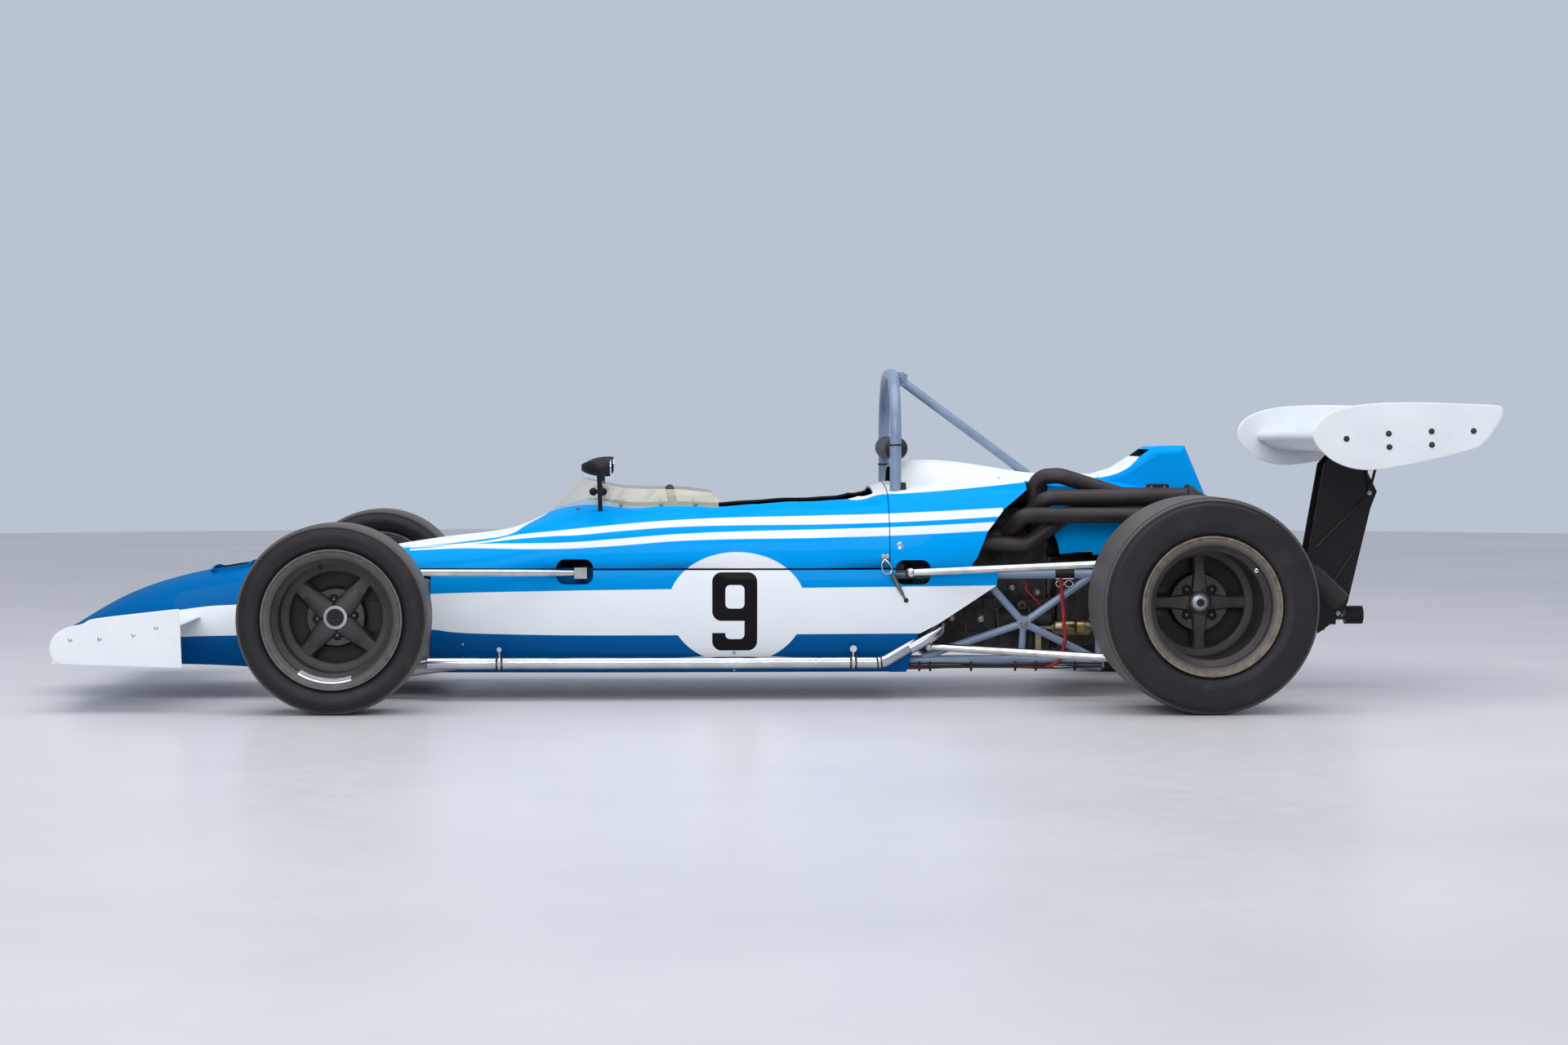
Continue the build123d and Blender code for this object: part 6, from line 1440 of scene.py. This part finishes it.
class RACER_OT_mirror_feet(bpy.types.Operator):
    """Fit the mirrors' double feet"""

    bl_idname = "racer.mirror_feet"
    bl_label = "Mirror feet"
    bl_options = {"REGISTER", "UNDO"}

    def execute(self, context):
        feet = []
        for side in (LEFT, RIGHT):
            foot = [(-7, 0.01), (-7, 9), (-3, 11), (4, 11), (7, 8), (8, 0.01)]
            feet += [lathe(foot, (b, side * 212, 566), (0, side, 0), 24) for b in (663, 690)]
            feet.append(slab((660, side * 212 - 4, 560), (693, side * 212 + 4, 572), 3))
            stem = curve([(690, side * 212, 570), (684, side * 208, 590), (686, side * 204, 612)], 6)
            feet.append(tube(stem, 3, 8))
        make_object("mirror_feet", join(feet), "satin black paint")
        return {"FINISHED"}


FLOOR_RADIUS = 14.0  # metres: every view's camera stands over the floor
FOCAL_WIDTHS = 3826.93 / 1920  # focal length in frame widths
CAMERA_PLACE = (-0.3142, -8.8689, 0.7469)  # metres
CAMERA_PITCH, CAMERA_YAW = 0.0308, 0.0403  # radians down and to the right


class RACER_OT_studio(bpy.types.Operator):
    """Set the floor, backdrop, lights and camera"""

    bl_idname = "racer.studio"
    bl_label = "Studio"
    bl_options = {"REGISTER", "UNDO"}

    def execute(self, context):
        studio = context.scene.studio
        # concrete sealed with resin: pale, with a soft sheen that mirrors the tyres
        _, shader, _ = worn(
            "sealed concrete", "#D5D5D8", "#CACBCF", 0.32, grain=14, mottle=0.8, bump=0.02, spread=0.1
        )
        put(shader, Specular_IOR_Level=0.35)
        # round floor, FLOOR_RADIUS in radius; round floor, wide enough to stand under
        # every view's camera
        a = np.linspace(0, 2 * np.pi, 96, endpoint=False)
        mesh = bpy.data.meshes.new("studio_floor")
        mesh.from_pydata(
            np.stack([FLOOR_RADIUS * np.cos(a), FLOOR_RADIUS * np.sin(a), 0 * a], 1).tolist(), [],
            [tuple(range(len(a)))],
        )
        mesh.materials.append(bpy.data.materials["sealed concrete"])
        floor = bpy.data.objects.new("studio_floor", mesh)
        bpy.context.scene.collection.objects.link(floor)
        for name, place, aim, size, power in (
            ("top_light", (0.0, -1.2, 4.2), (0, 0, 0.3), (7.0, 4.0), studio.key_power),
            ("front_light", (-1.5, -7.5, 3.2), (0, 0, 0.4), (6.0, 3.0), studio.fill_power),
        ):
            data = bpy.data.lights.new(name, "AREA")
            data.shape = "RECTANGLE"
            data.size, data.size_y = size
            data.energy = power
            lamp = bpy.data.objects.new(name, data)
            lamp.location = place
            lamp.visible_camera = False
            lamp.rotation_euler = (Vector(aim) - Vector(place)).to_track_quat("-Z", "Y").to_euler()
            bpy.context.scene.collection.objects.link(lamp)
        # the room lights the car evenly; camera, mirrors and glass see it as a plain blue grey
        world = bpy.data.worlds.new("pale room")
        world.use_nodes = True
        tree = world.node_tree
        path = add_node(tree, "LightPath").outputs
        seen = combine(
            tree, "MAXIMUM", path["Is Camera Ray"], path["Is Glossy Ray"], path["Is Transmission Ray"]
        )
        shade = add_node(
            tree, "Mix", {"Factor": seen, "A": linear("#E6EAF2"), "B": linear("#BAC3D1")}, data_type="RGBA"
        )
        level = add_node(tree, "MapRange", {"Value": seen, "To Min": studio.world_level, "To Max": 1.0})
        ground = tree.nodes["Background"]
        put(ground, Color=shade, Strength=level)
        scene = bpy.context.scene
        scene.world = world
        scene.view_settings.view_transform = "Standard"
        camera = bpy.data.cameras.new("camera")
        camera.sensor_width = 36.0
        camera.lens = FOCAL_WIDTHS * camera.sensor_width
        ahead = Vector((np.sin(CAMERA_YAW), np.cos(CAMERA_YAW), 0))
        right = Vector((np.cos(CAMERA_YAW), -np.sin(CAMERA_YAW), 0))
        up = Vector((0, 0, 1)) * np.cos(CAMERA_PITCH) + ahead * np.sin(CAMERA_PITCH)
        look = ahead * np.cos(CAMERA_PITCH) - Vector((0, 0, 1)) * np.sin(CAMERA_PITCH)
        eye = bpy.data.objects.new("camera", camera)
        turned = Matrix((right, up, -look)).transposed().to_4x4()
        eye.matrix_world = Matrix.Translation(CAMERA_PLACE) @ turned
        scene.collection.objects.link(eye)
        scene.camera = eye
        return {"FINISHED"}


class RACER_PT_panel(bpy.types.Panel):
    """The car's operators in the order in which they run"""

    bl_label = "Racing Car"
    bl_idname = "RACER_PT_panel"
    bl_space_type = "VIEW_3D"
    bl_region_type = "UI"
    bl_category = "Racing Car"

    def draw(self, context):
        for group in (context.scene.racer, context.scene.paint, context.scene.studio):
            for key in group.bl_rna.properties.keys():
                if key not in ("rna_type", "name"):
                    self.layout.prop(group, key)
        for operator in OPERATORS:
            self.layout.operator(operator.bl_idname)


OPERATORS = [
    RACER_OT_finishes,
    RACER_OT_shells,
    RACER_OT_tyres,
    RACER_OT_wheel_trim,
    RACER_OT_coil_overs,
    RACER_OT_seat,
    RACER_OT_harness,
    RACER_OT_cockpit,
    RACER_OT_body_fixings,
    RACER_OT_latches,
    RACER_OT_engine_bay,
    RACER_OT_mirror_feet,
    RACER_OT_studio,
]
CLASSES = [RacerSettings, PaintSettings, StudioSettings, *OPERATORS, RACER_PT_panel]


def register():
    for cls in CLASSES:
        bpy.utils.register_class(cls)
    bpy.types.Scene.racer = bpy.props.PointerProperty(type=RacerSettings)
    bpy.types.Scene.paint = bpy.props.PointerProperty(type=PaintSettings)
    bpy.types.Scene.studio = bpy.props.PointerProperty(type=StudioSettings)


def unregister():
    del bpy.types.Scene.studio
    del bpy.types.Scene.paint
    del bpy.types.Scene.racer
    for cls in reversed(CLASSES):
        bpy.utils.unregister_class(cls)


def main():
    """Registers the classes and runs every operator."""
    register()
    for operator in OPERATORS:
        group, name = operator.bl_idname.split(".")
        getattr(getattr(bpy.ops, group), name)()


if __name__ == "__main__":
    main()
